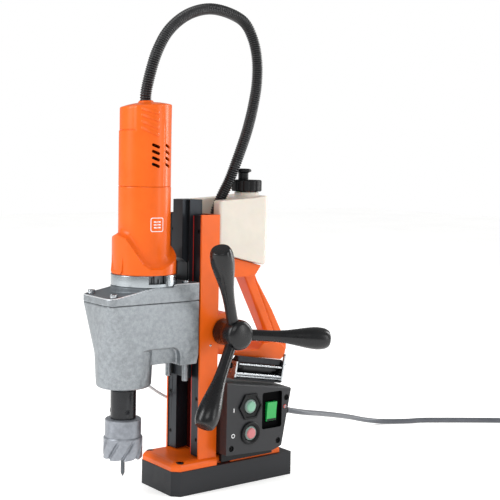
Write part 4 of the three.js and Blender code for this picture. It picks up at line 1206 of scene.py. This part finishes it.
def box_side(inset=0.0, radius=1.2):
    c = inset
    return rounded([(-27.5 + c, 48.6 + c, radius), (52, 45 + c, radius), (66.5 - c, 49.5 + c, 3),
                    (82 - c, 128.2 - c, radius), (-27.5 + c, 146.3 - c, radius)], 5)


def control_box():
    dress("control_housing", PLASTIC, 0.8, 3)
    panel = prism("panel_cover", "X", box_side(), 46.3, FACE)
    wedge = prism("bevel", "Y", [(FACE + 0.5, -2.2), (FACE - 1.8, 0.5), (FACE + 0.5, 0.5)], -20, 130)
    moved(wedge, turn_about("X", -9.39))
    shifted(wedge, 0, -27.5, 146.3)
    hollow = prism("hollow", "X", box_side(6), 45, FACE - 8)
    recess = prism("recess", "X", rectangle(32, 66, 76, 126, 3, 5), FACE - 5.5, FACE + 1)
    window = prism("window", "X", rectangle(41, 60, 83.5, 113, 2, 4), 40, 70)
    holes = [prism("hole", "X", circle(y, z, r, 48), 40, 70)
             for y, z, r in ((*START, 10.2), (*STOP, 10.2), (*LENS, 2.9))]
    wells = [prism("well", "X", circle(y, z, 4.1, 32), FACE - 4.6, FACE + 1)
             for y, z in PANEL_SCREWS]
    cut(panel, wedge, hollow)
    cut(panel, recess)
    cut(panel, window, *holes, *wells)
    paint(panel, PANEL)
    bevel(panel, 0.55, 2, 40)
    # Painted shade: the recess walls and floor get a near black.
    panel.data.materials.append(PIT)
    for polygon in panel.data.polygons:
        x, y, z = polygon.center / MM
        if x < FACE - 1 and 31.5 < y < 66.5 and 75.5 < z < 126.5:
            polygon.material_index = 1
    settle(panel, "frame", "control_panel", slot="black_plastic")
    for k, (y, z) in enumerate(PANEL_SCREWS):
        screw = aimed(cap_screw(3.5, 2.4, 1.7, RAIL_SCREW), "+X", FACE - 4.5, y, z)
        settle(screw, "frame", slot="dark_steel", name=f"panel_screw_{k}")
    marks()
    bezels()
    keys()
    dress("circuit_board", BOARD)


def marks():
    """The plain on and off symbols beside the two buttons."""
    bar = prism("mark_on", "X", rectangle(-16.4, -15.2, 105.6, 111.2, 0.4, 3), FACE - 0.1,
                FACE + 0.22, MARK)
    settle(smooth(bar), "frame", slot="black_plastic")
    ring = turned("mark_off", [(2.0, -0.1), (2.9, -0.1), (2.9, 0.22), (2.0, 0.22)], MARK, 40)
    settle(smooth(aimed(ring, "+X", FACE, -16.4, 74)), "frame", slot="black_plastic")


def edge_material(piece, material, inside):
    """Faces for which inside(x, y, z) is false get a second material."""
    piece.data.materials.append(material)
    for polygon in piece.data.polygons:
        if not inside(*polygon.center / MM):
            polygon.material_index = 1
    return piece


def bezels():
    """A hexagonal well round the upper button and a round one below."""
    outer = prism("start_ring", "X", circle(*START, 19.4, 6), FACE + 0.3, FACE + 3, PLASTIC)
    cut(outer, prism("hole", "X", circle(*START, 10.3, 64), 55, 70))
    cut(outer, prism("inner", "X", circle(*START, 16.2, 6), FACE + 1.2, FACE + 4))
    settle(bevel(outer, 0.5, 2), "frame", "start_bezel", slot="black_plastic")
    profile = softened([(10.3, 0.3), (15.5, 0.3), (15.5, 2.2), (14.6, 3), (12.6, 3), (11.4, 1.6),
                        (10.3, 1.3)], 0.4, 3)
    stop = smooth(turned("stop_ring", profile, PLASTIC, 72), 35)
    settle(aimed(stop, "+X", FACE, *STOP), "frame", "stop_bezel", slot="black_plastic")


def keys():
    """The two buttons with their pale rings, the lit rocker, and the small lens."""
    profile = softened([(0, -7), (9.6, -7), (9.6, 0.6), (9.1, 1.6), (7.4, 2.0), (6.6, 3.4),
                        (5.4, 4.1), (0, 4.4)], 0.6, 4)
    for name, node, place, material in (("start_key", "start_button", START, PALE_GREEN),
                                        ("stop_key", "stop_button", STOP, RED_KEY)):
        key = smooth(turned(name, profile, material, 64), 40)
        edge_material(key, KEY_RING, lambda x, y, z: math.hypot(x, y) <= 7.2 and z >= 0)
        settle(aimed(key, "+X", FACE, *place), node, node, slot="green_plastic")
    side = rounded([(54.6, 85, 0.4), (57.8, 85, 0.6), (58.6, 98, 6), (60.1, 111.5, 0.6),
                    (54.6, 111.5, 0.4)], 4)
    rocker = bevel(prism("rocker_key", "Y", side, 42.3, 58.7, GREEN_KEY), 0.5, 2)
    settle(rocker, "rocker", "magnet_rocker", slot="green_plastic")
    strip = block("rocker_strip", 57.2, 58.1, 42.9, 58.1, 85.3, 88.4, PLASTIC)
    settle(bevel(strip, 0.2, 2), "rocker", slot="black_plastic")
    lens = smooth(turned("lens", softened([(0, -8), (2.6, -8), (2.6, 0.2), (1.9, 0.8), (0, 0.8)],
                                          0.4, 3), BADGE, 32), 40)
    edge_material(lens, RED, lambda x, y, z: math.hypot(x, y) <= 1.9)
    settle(aimed(lens, "+X", FACE, *LENS), "frame", "indicator_lens", slot="red_plastic")




# ---- stage
def add_stage():
    scene.view_settings.view_transform = "Standard"
    floor = block("floor", -6000, 6000, -6000, 6000, -20, -0.1)
    pale = surface("pale_floor", "#fbfbfa", 0.7, spread=0.01, patch=2, grain=300, bump=0.02)
    set_inputs(pale.node_tree.nodes["Principled BSDF"], Emission_Color=(1, 1, 1, 1),
               Emission_Strength=0.28)
    floor.data.materials.append(pale)
    scene.world = soft_room()
    lamp("key", (-0.5, -2.3, 1.5), (0, -0.05, 0.25), (0.9, 1.9), 40)
    lamp("front", (2.3, -1.3, 2.1), (0, 0, 0.2), (1.6, 1.2), 19)
    lamp("edge", (0.3, 2.2, 0.9), (0, -0.05, 0.3), (0.35, 2.0), 28)
    lamp("side", (2.4, 1.6, 0.9), (0, 0, 0.25), (0.5, 1.6), 14)


def soft_room():
    """A white backdrop that lights the object more gently than it looks."""
    world = bpy.data.worlds.new("soft_room")
    world.use_nodes = True
    nodes, links = world.node_tree.nodes, world.node_tree.links
    ray = nodes.new("ShaderNodeLightPath")
    total = None
    for kind, change in (("Is Camera Ray", 0.22), ("Is Glossy Ray", -0.4)):
        step = nodes.new("ShaderNodeMath")
        step.operation = "MULTIPLY_ADD"
        links.new(ray.outputs[kind], step.inputs[0])
        step.inputs[1].default_value = change
        step.inputs[2].default_value = 0.78
        if total:
            links.new(total, step.inputs[2])
        total = step.outputs["Value"]
    back = set_inputs(nodes["Background"], Color=(1, 1, 1, 1))
    links.new(total, back.inputs["Strength"])
    return world


def lamp(name, place, target, size, power):
    data = bpy.data.lights.new(name, "AREA")
    data.shape = "RECTANGLE"
    data.size, data.size_y = size
    data.energy = power
    light = bpy.data.objects.new(name, data)
    aim = (Vector(target) - Vector(place)).to_track_quat("-Z", "Y")
    light.matrix_world = Matrix.Translation(place) @ aim.to_matrix().to_4x4()
    light.visible_camera = False
    scene.collection.objects.link(light)


frame_parts()
gear_housing()
gear_cover()
motor_collar()
motor_housing()
motor_cap()
badge()
tool_parts()
capstan()
tank_parts()
carry_handle()
strap_ratchet()
control_box()
add_stage()
